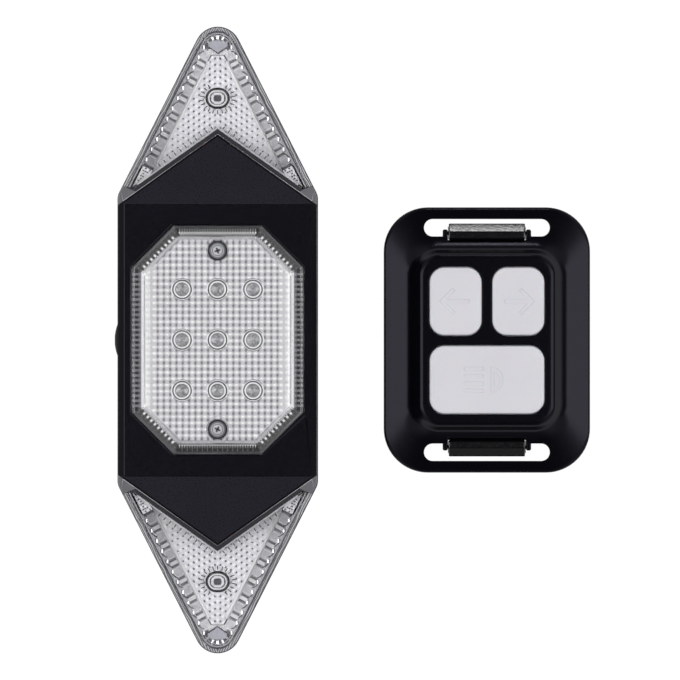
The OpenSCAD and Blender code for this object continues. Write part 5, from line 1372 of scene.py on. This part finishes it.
def v_line(gap, reach, below):
    """Points along the V, gap mm beyond it, out to x = reach on both sides."""
    apex = V_APEX + gap / cos(V_ANGLE)
    return [(x, apex - V_SLOPE * abs(x), top_z(apex - V_SLOPE * abs(x), below))
            for x in (reach, 0, -reach)]


sheet_lines = bar_along("sheet_lines", [[(x, -17.4, 24.98), (x, 17.4, 24.98)]
                                        for x in (-half_w - 0.1, half_w + 0.1)],
                        0.09, PRISM_GREY)
seat(sheet_lines, "light", "clear_lens")
# A bright bead along the inner edge of the V, under the window, is a painted highlight line.
v_beads = bar_along("v_beads", [v_line(V_GAP + V_WALL + 0.16, 21.8, LENS_TOP + 0.15)], 0.13,
                    PRISM_BRIGHT)
seat_both(v_beads, "clear_lens")
v_rim = bar_along("v_rim", [v_line(V_GAP + 0.13, 25.6, 0.0)], 0.11, SPARKLE)
seat_both(v_rim, "clear_lens")
inner_side = [taper_point(CORNER_AT + 0.15, 1.9), taper_point(CORNER_AT + 0.45, 3.6),
              foot_point(CORNER_AT + 0.15, V_GAP + V_WALL + 0.3)]
corner_beads = bar_along("corner_beads", [[(k * x, y, TROUGH_TOP + 0.3) for x, y in inner_side]
                                          for k in (-1, 1)], 0.2, SPARKLE)
seat_both(corner_beads, "clear_lens")

# %% [markdown]
# The panel's dots stand in columns 1.44 mm apart. Their rows run parallel to the V, 1.7 mm apart,
# like the barbs of a feather. Each dot is a small cone painted dark as the shade of a prism. The same
# lattice drives the finish, which adds a painted soft shade round each dot and a painted gleam
# between dots.

# %% Panel
PANEL_INSET, PANEL_TOP, PANEL_TIP, POST_Y = 5.6, 14.0, 77.0, END_SCREW_Y
V_BOARD = V_GAP + V_WALL + 0.3
DOT_X, DOT_ROW, FIRST_ROW = 1.44, 1.70, 56.25
PANEL_PLASTIC = lattice_finish("white ABS, prism panel", "#88888e", "#e6e6ec", "#ffffff",
                               (DOT_X, DOT_X / 2, DOT_ROW, FIRST_ROW, V_SLOPE), 0.3,
                               (8.0, 12.0))


def clipped(outline, highest):
    """An outline without what lies above a height in Y."""
    out = []
    for (ax, ay), (bx, by) in zip(outline, outline[1:] + outline[:1]):
        if ay <= highest:
            out.append((ax, ay))
        if (ay - highest) * (by - highest) < 0:
            t = (highest - ay) / (by - ay)
            out.append((ax + (bx - ax) * t, highest))
    return out


panel = slab("end_panel", clipped(arrowhead(PANEL_INSET, V_BOARD), PANEL_TIP), BOARD_TOP + 0.3,
             PANEL_TOP)
cut(panel, slab("post_hole", round_rect(6.5, 5.7, 2.84, 10), 0, 30, (0, POST_Y)),
    slab("underside", clipped(arrowhead(PANEL_INSET + 0.8, V_BOARD + 0.8), PANEL_TIP - 0.8),
         0, PANEL_TOP - 1.2))
rounded(panel, 0.12, 2, 40)
paint(panel, PANEL_PLASTIC)
seat_both(panel, "white_reflector", ("end_reflector_upper",), ("end_reflector_lower",))

# Bright beads along the panel's edges on the tapers are painted highlight lines.
x0, y0 = taper_point(12.6, PANEL_INSET + 0.2)
x1, y1 = taper_point(43.4, PANEL_INSET + 0.2)
z = PANEL_TOP + 0.02
panel_beads = bar_along("panel_beads", [[(x0, y0, z), (x1, y1, z)], [(-x0, y0, z), (-x1, y1, z)]],
                        0.3, PRISM_BRIGHT)
seat_both(panel_beads, "white_reflector")

# %% Dots on the panel
dots = []
for i in range(-14, 14):
    for j in range(-1, 20):
        x = (i + 0.5) * DOT_X
        y = FIRST_ROW + j * DOT_ROW - V_SLOPE * abs(x)
        if taper_inset(x, y) > PANEL_INSET + 0.8 and v_inset(x, y) > V_BOARD + 0.7 \
                and y < PANEL_TIP - 0.6 and hypot(x / 1.15, y - POST_Y) > 3.9:
            dots.append((x, y, PANEL_TOP, 30 if x > 0 else -30))
template = loft("template", [(round_rect(0.5, 0.4, 0.1, 1), -0.05),
                             (round_rect(0.42, 0.34, 0.08, 1), 0.1),
                             (round_rect(0.12, 0.1, 0.02, 1), 0.26)])
panel_dots = stamped("panel_dots", template, dots, PRISM_SMOKE)
print(len(dots), "dots on each panel")
seat_both(panel_dots, "white_reflector")


# %% [markdown]
# Short flutes lie round the screw post, longer at its sides, and a row of them stands square to the
# V's edge. The dark flutes are painted shade and the bright gleams between them painted highlights.

# %% Flutes
def flute(width, length):
    """A sharp ridge, its length along Y."""
    x, y = width / 2, length / 2
    return from_points("template", [(-x, -y, -0.05), (x, -y, -0.05), (x, y, -0.05),
                                    (-x, y, -0.05), (0, -y * 0.8, 0.22), (0, y * 0.8, 0.22)],
                       [(3, 2, 1, 0), (0, 1, 4), (1, 2, 5, 4), (2, 3, 5), (3, 0, 4, 5)])


ROUND_POST = 22
post_rings = []
for name, width, length, shift, reach_x, reach_y, highest, finish in (
        ("post_flutes", 0.36, 1.15, 0.5, 4.35, 3.75, 0.86, PRISM_DARK),
        ("post_gleams", 0.4, 1.0, 0.0, 4.3, 3.7, 1.1, PRISM_BRIGHT)):
    turns = [2 * pi * (i + shift) / ROUND_POST for i in range(ROUND_POST)]
    spots = [(reach_x * cos(a), POST_Y + reach_y * sin(a), PANEL_TOP, a * 180 / pi - 90)
             for a in turns if sin(a) < highest]
    post_rings.append(stamped(name, flute(width, length), spots, finish))
for ring in post_rings:
    seat_both(ring, "white_reflector")

spots, gleams = [], []
for i in range(11):
    for store, shift in ((spots, 0.0), (gleams, 0.5)):
        x = 1.6 + (i + shift) * 1.42
        y = V_APEX + (V_BOARD + 0.75) / cos(V_ANGLE) - V_SLOPE * x
        if taper_inset(x, y) > PANEL_INSET + 0.6:
            store.append((x, y, PANEL_TOP, -V_ANGLE * 180 / pi))
for name, store, finish in (("v_flutes", spots, PRISM_DARK), ("v_gleams", gleams, PRISM_BRIGHT)):
    row = stamped(name, flute(0.36, 0.95), both_sides(store), finish)
    seat_both(row, "white_reflector")

# %% [markdown]
# The screw post has an oval eye: a dark ring, a grey land, a second dark ring, a pale land and the
# dark hole of the screw. The rings and the hole are painted shade. It is a stack of rounded
# rectangles.

# %% The screw post's eye
EYE = [(4.9, 4.9, 2.449, 3.9), (4.9, 4.9, 2.449, 13.2), (5.85, 5.0, 2.48, 14.1),
       (5.85, 5.0, 2.48, 15.7), (5.6, 4.75, 2.36, 15.8), (5.25, 4.4, 2.19, 15.6),
       (5.1, 4.25, 2.1, 15.75), (4.4, 3.5, 1.7, 15.85), (4.0, 3.1, 1.5, 15.75),
       (3.75, 2.85, 1.38, 15.55), (3.5, 2.6, 1.25, 15.65), (3.0, 2.2, 1.05, 15.75),
       (2.3, 1.9, 0.85, 15.6), (2.1, 1.7, 0.75, 15.2), (0.4, 0.3, 0.12, 15.1)]
eye = settle(loft("post_eye", [(round_rect(w, l, r, 8), z) for w, l, r, z in EYE],
                  (0, POST_Y)), 50)


def eye_faces(centre, normal):
    """0 on the white lands, 1 on the pale outside, 2 on the rings and in the hole, painted dark as
    shade.
    """
    x, y = abs(centre.x), abs(abs(centre.y) - POST_Y)
    reach = max(x / 2.925, hypot(max(x - 0.43, 0), y) / 2.5)
    if centre.z < 15.6 and reach > 0.98 and abs(normal.z) < 0.5:
        return 1
    if reach > 0.885 or 0.60 < reach < 0.72 or reach < 0.34:
        return 2
    return 0


paint(eye, PRISM_WHITE, PRISM_PALE, PRISM_DARK, choose=eye_faces)
seat_both(eye, "clear_lens")

# %% [markdown]
# Along each taper lie seven square diodes. A diode is a pale case with a shallow well of phosphor, on
# a silver pad. A narrow pale rib stands halfway between two diodes, and the dark board shows on
# either side of it.

# %% Diodes, pads and ribs
LED_INSET, LED_COUNT, LED_FIRST, LED_LAST = 4.0, 7, 11.4, 2.9
LED_FOOT = LED_INSET * tan(TAPER / 2)
LED_PITCH = (TAPER_L - LED_FOOT - LED_LAST - LED_FIRST) / (LED_COUNT - 1)
LED_AT = LED_INSET * sin(TAPER) - LED_FOOT * cos(TAPER) + LED_FIRST


def taper_places(distances, inset, height, tilt=0.0):
    """Places on both tapers. X points outwards and, on the right, Y to the tip."""
    return both_sides([(*taper_point(d, inset), height, TAPER_DEG + tilt) for d in distances])


case = loft("template", [(round_rect(2.6, 2.6, 0.12, 2), 0.0), (round_rect(2.6, 2.6, 0.12, 2), 0.8),
                         (round_rect(2.46, 2.46, 0.12, 2), 0.9),
                         (round_rect(2.1, 2.1, 0.5, 2), 0.9),
                         (round_rect(1.9, 1.9, 0.45, 2), 0.78),
                         (round_rect(1.0, 0.9, 0.3, 2), 0.84)])
led_distances = [LED_AT + i * LED_PITCH for i in range(LED_COUNT)]
spots = taper_places(led_distances, LED_INSET, BOARD_TOP)
end_lamps = stamped("end_lamps", case, spots, LAMP_CASE, 30)
paint(end_lamps, LAMP_CASE, LAMP_PHOSPHOR,
      choose=lambda centre, normal: int(centre.z < BOARD_TOP + 0.87 and normal.z > 0.7))
seat_both(end_lamps, "diode", ("end_leds_upper",), ("end_leds_lower",))

pad = block("template", (-1.15, -1.55, 0), (1.15, 1.55, 0.14))
pads = stamped("end_pads", pad, spots, ZINC_DULL)
seat_both(pads, "metal_can")

rib = loft("template", [(round_rect(2.5, 1.05, 0.1, 1), 0.0), (round_rect(2.5, 1.05, 0.1, 1), 1.2),
                        (round_rect(2.3, 0.8, 0.08, 1), 1.35)])
rib_distances = [LED_AT + (i + 0.5) * LED_PITCH for i in range(LED_COUNT - 1)]
ribs = stamped("end_ribs", rib, taper_places(rib_distances, 4.1, BOARD_TOP), PRISM_BRIGHT, 30)
seat_both(ribs, "white_reflector")

# %% [markdown]
# On the trough stands the row of sparks, 3.115 mm apart: small bright prisms, and between two of them
# a dark bar of painted shade that bends inwards like a fish scale. Both rows go on round the tip.

# %% Sparks and bars
SPARK_AT, SPARK_PITCH, SPARK_COUNT = 5.85, 3.115, 14


def round_tip(angles, radius, tilt):
    """Places round the upper tip, on both sides; X points outwards."""
    return both_sides([(radius * cos(radians(a)), TIP_Y + radius * sin(radians(a)),
                        TROUGH_TOP, a + tilt) for a in angles])


def roof(width, length, lean=18, height=0.25):
    """A block with a shallow roof, its ridge along Y."""
    x, y = width / 2, length / 2
    top = height + x * tan(radians(lean))
    return from_points("template", [(-x, -y, 0), (x, -y, 0), (x, y, 0), (-x, y, 0),
                                    (-x, -y, height), (x, -y, height), (x, y, height),
                                    (-x, y, height), (0, 0.12 - y, top), (0, y - 0.12, top)],
                       [(3, 2, 1, 0), (0, 1, 5, 4), (1, 2, 6, 5), (2, 3, 7, 6), (3, 0, 4, 7),
                        (4, 5, 8), (5, 6, 9, 8), (6, 7, 9), (7, 4, 8, 9)])


spark = roof(0.6, 1.05)
spark_distances = [SPARK_AT + i * SPARK_PITCH for i in range(SPARK_COUNT)]
spots = taper_places(spark_distances, 2.55, TROUGH_TOP, -28) + round_tip((38, 66, 90), 3.2, 90)
sparks = stamped("end_sparks", spark, spots, SPARKLE, 10)
seat_both(sparks, "clear_lens")

bend = arc((-2.9, -1.5), 3.2, 10, 46, 5) + arc((-2.9, -1.5), 2.99, 46, 10, 5)
places = [(*taper_point(d + 1.5, 2.5), TROUGH_TOP + 0.02, TAPER_DEG) for d in spark_distances[:-1]]
bars = []
for name in ("end_bars", "end_bars_left"):
    bars.append(stamped(name, slab("template", bend, 0.0, 0.3), places, PRISM_DARK, 20))
    bend = [(x, -y) for x, y in bend]
    places = [(-x, y, z, 180 - turn) for x, y, z, turn in places]
for row in bars:
    seat_both(row, "clear_lens")

tip_bar = slab("template", arc((0, 0), 3.7, -11, 11, 4) + arc((0, 0), 3.48, 11, -11, 4), 0.0, 0.3)
tip_bars = stamped("tip_bars", tip_bar, both_sides(
    [(0.35 * cos(radians(a)), TIP_Y + 0.35 * sin(radians(a)), TROUGH_TOP + 0.02, a)
     for a in (24, 52, 80)]), PRISM_DARK, 20)
seat_both(tip_bars, "clear_lens")

# %% [markdown]
# Between the corner block and the first diode stands a block that is covered with small crystals:
# half of them dark, the others pale or bright, which is painted shade and light on their faces. The
# kind comes from the crystal's own place, so it is the same every time. A few more lie at the tip.

# %% Crystal beds
CRYSTAL_TOP = 19.4
outline = [taper_point(3.4, 2.7), taper_point(10.2, 2.7), taper_point(10.2, PANEL_INSET - 0.1),
           arrowhead(PANEL_INSET - 0.1, V_BOARD)[0], foot_point(3.4, V_BOARD)]
bed = fuse(slab("crystal_bed", outline, BOARD_TOP + 0.05, CRYSTAL_TOP),
           slab("left", [(-x, y) for x, y in outline], BOARD_TOP + 0.05, CRYSTAL_TOP))
paint(bed, PRISM_WHITE)
seat_both(bed, "white_reflector")
tip_bed = slab("tip_bed", [(2.9, 77.1), (2.3, 79.4), (1.2, 80.8), (-1.2, 80.8), (-2.3, 79.4),
                           (-2.9, 77.1)], BOARD_TOP + 0.05, TROUGH_TOP - 0.05)
paint(tip_bed, PRISM_WHITE)
seat_both(tip_bed, "white_reflector")

heaps = ([], [], [])
for i in range(9):
    for j in range(5):
        distance = 3.8 + 0.76 * i
        inset = 3.05 + 0.62 * j + (0.3 if i % 2 else 0.0)
        x, y = taper_point(distance, inset)
        if v_inset(x, y) > V_BOARD + 0.4 and inset < PANEL_INSET - 0.4:
            heap = heaps[(1, 2, 0, 2)[(i * 7 + j * 5 + i * j) % 4]]
            heap.append((x, y, CRYSTAL_TOP - 0.02, (i * 53 + j * 29) % 50 - 25))
for i in range(4):
    heaps[0].append((0.7 + 0.62 * i, 77.45 + 0.1 * (i % 2), TROUGH_TOP - 0.05, 20 * i))
    heaps[1 + i % 2].append((0.4 + 0.62 * i, 78.0 + 0.35 * i, TROUGH_TOP - 0.05, 35 * i))
for name, heap, finish, size in zip(("bright", "pale", "dark"), heaps,
                                    (PRISM_BRIGHT, PRISM_WHITE, PRISM_SMOKE), (0.55, 0.62, 0.5)):
    crystals = stamped("crystals_" + name, roof(size, size * 0.9, 18, 0.1), both_sides(heap),
                       finish, 10)
    seat_both(crystals, "clear_lens")

# %% [markdown]
# At the tip a plain lilac facet lies between the two rows, with a dark crease in the form of a V
# under it: a bar painted dark as the crease's shade.

# %% Tip facet and crease
facet_outline = [(0.1, 77.75), (1.5, 78.75), (2.75, 79.5), (2.5, 80.6), (1.2, 81.1), (-1.0, 81.15),
                 (-2.3, 80.7), (-2.6, 79.5), (-1.4, 78.75)]
facet = rounded(slab("tip_facet", facet_outline, 12.5, 13.5), 0.15, 2)
paint(facet, FACET_LILAC)
seat_both(facet, "clear_lens")
crease = bar_along("tip_crease", [[(-2.75, 79.35, 13.2), (-1.3, 78.6, 13.2), (0.1, 77.5, 13.2),
                                   (1.6, 78.6, 13.2), (2.9, 79.35, 13.2)]], 0.15, PRISM_DARK)
seat_both(crease, "clear_lens")

# %% [markdown]
# ## The remote
#
# The front shell is one smooth moulding: a thin skirt that slopes up to a raised block, with soft
# fillets where they meet. It is lofted through rounded rectangles whose corners, sizes and heights
# come from the CAD source, then the windows, slots and notches are cut, and the ears fused on.

# %% Front shell
REAR_TOP, SKIRT_Z, BLOCK_FOOT, BLOCK_TOP, SKIN_Z = 6.5, 8.8, 11.0, 15.0, 13.0
SLOT_Y, SLOT_H, SLOT_W = 28.1, 4.7, 34.1
LEDGE_Y, LEDGE_Z, NOTCH_Y = 27.15, 7.3, 26.5
EAR_X, EAR_W, PIN_Z, PIN_Y = 10.6, 1.4, 8.3, 29.0
ARROW_W, MODE_W, KEY_L, KEY_R = 14.1, 31.1, 18.35, 4.0
ARROW_X, ARROW_Y, MODE_Y = 8.5, 10.475, 10.775
AT_REMOTE = (REMOTE_X, 0)

stations = [(55.4, 71.4, 11.7, REAR_TOP), (56, 72, 12, REAR_TOP + 0.35), (56, 72, 12, SKIRT_Z),
            (42.2, 50.6, 7.7, BLOCK_FOOT), (36, 46, 5.4, BLOCK_TOP), (33, 43, 4.2, BLOCK_TOP)]
remote_shell = rounded_loft("remote_shell", stations, (0.2, 0.8, 2.2, 1.1), AT_REMOTE, 6, 16)
tools = [slab("cavity", round_rect(35.4, 44.6, 5.0), 0, SKIN_Z, AT_REMOTE),
         slab("window", round_rect(MODE_W + 0.5, KEY_L + 0.5, KEY_R + 0.25), 10, 20,
              (REMOTE_X, -MODE_Y))]
for side in (-1, 1):
    tools.append(slab("window", round_rect(ARROW_W + 0.5, KEY_L + 0.5, KEY_R + 0.25), 10, 20,
                      (REMOTE_X + side * ARROW_X, ARROW_Y)))
    tools.append(slab("slot", round_rect(SLOT_W, SLOT_H, SLOT_H / 2 - 0.001), 0, 20,
                      (REMOTE_X, side * (SLOT_Y + SLOT_H / 2))))
    for start, low in ((LEDGE_Y, 0), (NOTCH_Y, LEDGE_Z)):
        near, far = sorted((side * start, side * (SLOT_Y + 1)))
        tools.append(block("notch", (REMOTE_X - EAR_X, near, low), (REMOTE_X + EAR_X, far, 20)))
cut(remote_shell, *tools)
ears = [rounded(block("ear", (REMOTE_X + sx * (EAR_X + EAR_W / 2) - EAR_W / 2,
                              sy * 28.8 - 1.2, REAR_TOP + 0.01),
                      (REMOTE_X + sx * (EAR_X + EAR_W / 2) + EAR_W / 2, sy * 28.8 + 1.2,
                       REAR_TOP + 3.5)), 0.5, 3)
        for sx in (-1, 1) for sy in (-1, 1)]
fuse(remote_shell, *ears)
rounded(remote_shell, 0.18, 2, 45, 40)
paint(remote_shell, REMOTE_ABS)
seat(remote_shell, "remote", "black_shell", "remote_front_shell")


# %% [markdown]
# ## Buttons
#
# Three light grey rubber keys with a soft round edge. Their signs are engraved a fifth of a
# millimetre deep: arrows on the upper two and a plain lamp with its beams on the wide one. The
# signs are cut as solids, so the grooves are real.

# %% Key bodies and engraved strokes
KEY_TOP, KEY_FLANGE_Z, SIGN_DEPTH, STROKE = 15.9, 11.8, 0.2, 1.0


def key(name, width, place):
    """A key with its hidden flange, its cap and a soft round edge."""
    stations = [(width + 1.6, KEY_L + 1.6, KEY_R + 0.8, KEY_FLANGE_Z),
                (width + 1.6, KEY_L + 1.6, KEY_R + 0.8, KEY_FLANGE_Z + 1.1),
                (width, KEY_L, KEY_R, KEY_FLANGE_Z + 1.1), (width, KEY_L, KEY_R, KEY_TOP - 0.1),
                (width - 2.4, KEY_L - 2.4, KEY_R - 1.2, KEY_TOP)]
    return rounded_loft(name, stations, (0.1, 0.1, 0.75), place, 5, 14)


def stroke(start, end, place, turn=0):
    """A cutter for one engraved line."""
    a, b = Vector(start), Vector(end)
    along = (b - a).normalized() * STROKE / 2
    across = Vector((-along.y, along.x))
    corners = [a - across, b - across, b + across, a + across]
    spun = Matrix.Rotation(turn, 2)
    outline = [tuple(spun @ c) for c in corners]
    return slab("stroke", outline, KEY_TOP - SIGN_DEPTH, KEY_TOP + 1, place)


def engraved(obj, tools):
    """Cuts signs into a key and breaks their edges."""
    cut(obj, *tools)
    return rounded(obj, 0.05, 1, 50, 40)


# %% Arrow keys
for side, name in ((-1, "left"), (1, "right")):
    place = (REMOTE_X + side * ARROW_X, ARROW_Y)
    turn = 0 if side > 0 else pi
    arrow = key("arrow_key_" + name, ARROW_W, place)
    engraved(arrow, [stroke((-3.75, 0), (3.6, 0), place, turn),
                     stroke((0.5, 3.25), (4.05, -0.3), place, turn),
                     stroke((0.5, -3.25), (4.05, 0.3), place, turn)])
    paint(arrow, KEY_SILICONE)
    seat(arrow, name + "_button_body", "button_grey", name + "_button")

# %% Wide key with the lamp sign
place = (REMOTE_X, -MODE_Y)
LAMP_R = 3.45
mode_key = key("mode_key", MODE_W, place)
bow = arc((1, 0), LAMP_R, -90, 90, 16) + arc((1, 0), LAMP_R - STROKE, 90, -90, 16)
signs = [slab("bow", bow, KEY_TOP - SIGN_DEPTH, KEY_TOP + 1, place),
         stroke((1.5, -LAMP_R), (1.5, LAMP_R), place)]
for i in range(4):
    y = (i - 1.5) * (2 * LAMP_R - STROKE) / 3
    signs.append(stroke((-6.2, y), (-0.9, y), place))
engraved(mode_key, signs)
paint(mode_key, KEY_SILICONE)
seat(mode_key, "mode_button_body", "button_grey", "mode_button")

# %% [markdown]
# ## Strap hooks, rear cover and pad
#
# The hooks that hold the strap are glossy nylon with cut corners, each on a steel pin. Behind them
# are the rear cover and a rubber pad with the groove for the bar. The light's own side button and
# port cover, of the same black rubber, follow.

# %% Hooks with a nylon bush at either end, cover and pad
BUSH_R = 1.75
for name in ("upper", "lower"):
    hook = dressed("hook_" + name, "strap_hook_" + name, 0.3, 3)
    paint(hook, HOOK_NYLON)
    low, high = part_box("strap_hook_" + name)
    pin_y = PIN_Y if name == "upper" else -PIN_Y
    bushes = []
    for start, end in ((REMOTE_X - EAR_X, low[0] / MM), (high[0] / MM, REMOTE_X + EAR_X)):
        bush = slab("bush_" + name, round_rect(2 * BUSH_R, 2 * BUSH_R, BUSH_R - 0.001, 8),
                    start + 0.04, end - 0.04)
        bush.data.transform(Matrix(((0, 0, 1, 0), (1, 0, 0, pin_y * MM), (0, 1, 0, PIN_Z * MM),
                                    (0, 0, 0, 1))))
        bushes.append(bush)
    bushes = settle(fuse(*bushes), 40)
    paint(bushes, HOOK_NYLON)
    seat(bushes, "remote", "hook_black")
    seat(hook, "strap_hook_" + name + "_body", "hook_black", "strap_hook_" + name)
remote_back = dressed("remote_back", "remote_rear_cover", 0.3, 3)
paint(remote_back, REMOTE_ABS)
seat(remote_back, "remote", "black_cover", "remote_rear_cover")
bar_pad = dressed("bar_pad", "saddle_pad", 0.3, 3)
paint(bar_pad, BLACK_RUBBER)
seat(bar_pad, "remote", "rubber_black", "saddle_pad")

# %% Side button and port cover of the light
low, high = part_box("power_button")
out_x, in_x, port_z = -low[0] / MM, -high[0] / MM, (low[2] + high[2]) / 2 / MM
KEY_W, KEY_H, KEY_LIP = 8.4, 4.2, 0.8
slots = [(KEY_W + 2 * KEY_LIP, KEY_H + 2 * KEY_LIP, in_x),
         (KEY_W + 2 * KEY_LIP, KEY_H + 2 * KEY_LIP, in_x + 0.6), (KEY_W, KEY_H, in_x + 0.6)]
for step in range(7):
    proud = 0.7 * step / 6
    share = (1 - proud / 0.76) ** 0.5
    slots.append((KEY_W * share, KEY_H * (0.35 + 0.65 * share), out_x - 0.7 + proud))
side_key = loft("side_key", [(round_rect(w, h, h / 2 - 0.001, 10), x) for w, h, x in slots])
turn = Matrix(((0, 0, -1, 0), (-1, 0, 0, 0), (0, 1, 0, port_z * MM), (0, 0, 0, 1)))
side_key.data.transform(turn)
settle(side_key, 40)
paint(side_key, BLACK_RUBBER)
seat(side_key, "power_button_body", "rubber_black", "power_button")
port_flap = dressed("port_flap", "port_cover", 0.2, 3)
paint(port_flap, BLACK_RUBBER)
seat(port_flap, "port_cover_body", "rubber_black", "port_cover")

# %% [markdown]
# ## What lies inside
#
# Boards, battery, leads and switches keep their CAD form and get the finish of the real thing.
# The end boards are grey and show between the diodes.

# %% Finishes of the inner parts
INNER = {"end_board_upper": MASK_GREY, "end_board_lower": MASK_GREY, "main_board": MASK_GREEN,
         "remote_board": MASK_GREEN, "battery_cell": FOIL, "radio_module": STEEL,
         "charging_port": STEEL, "power_switch": STEEL, "remote_switches": STEEL,
         "coin_cell": STEEL, "cell_clip": STEEL, "hook_pins": STEEL, "remote_chip": BLACK_ABS,
         "keypad_web": GREY_RUBBER, "housing_seal": GREY_RUBBER, "remote_seal": GREY_RUBBER,
         "red_leads": RED_PVC, "black_leads": BLACK_PVC, "bracket_insert": BRASS}
for name, material in INNER.items():
    paint(NODES[name], material)
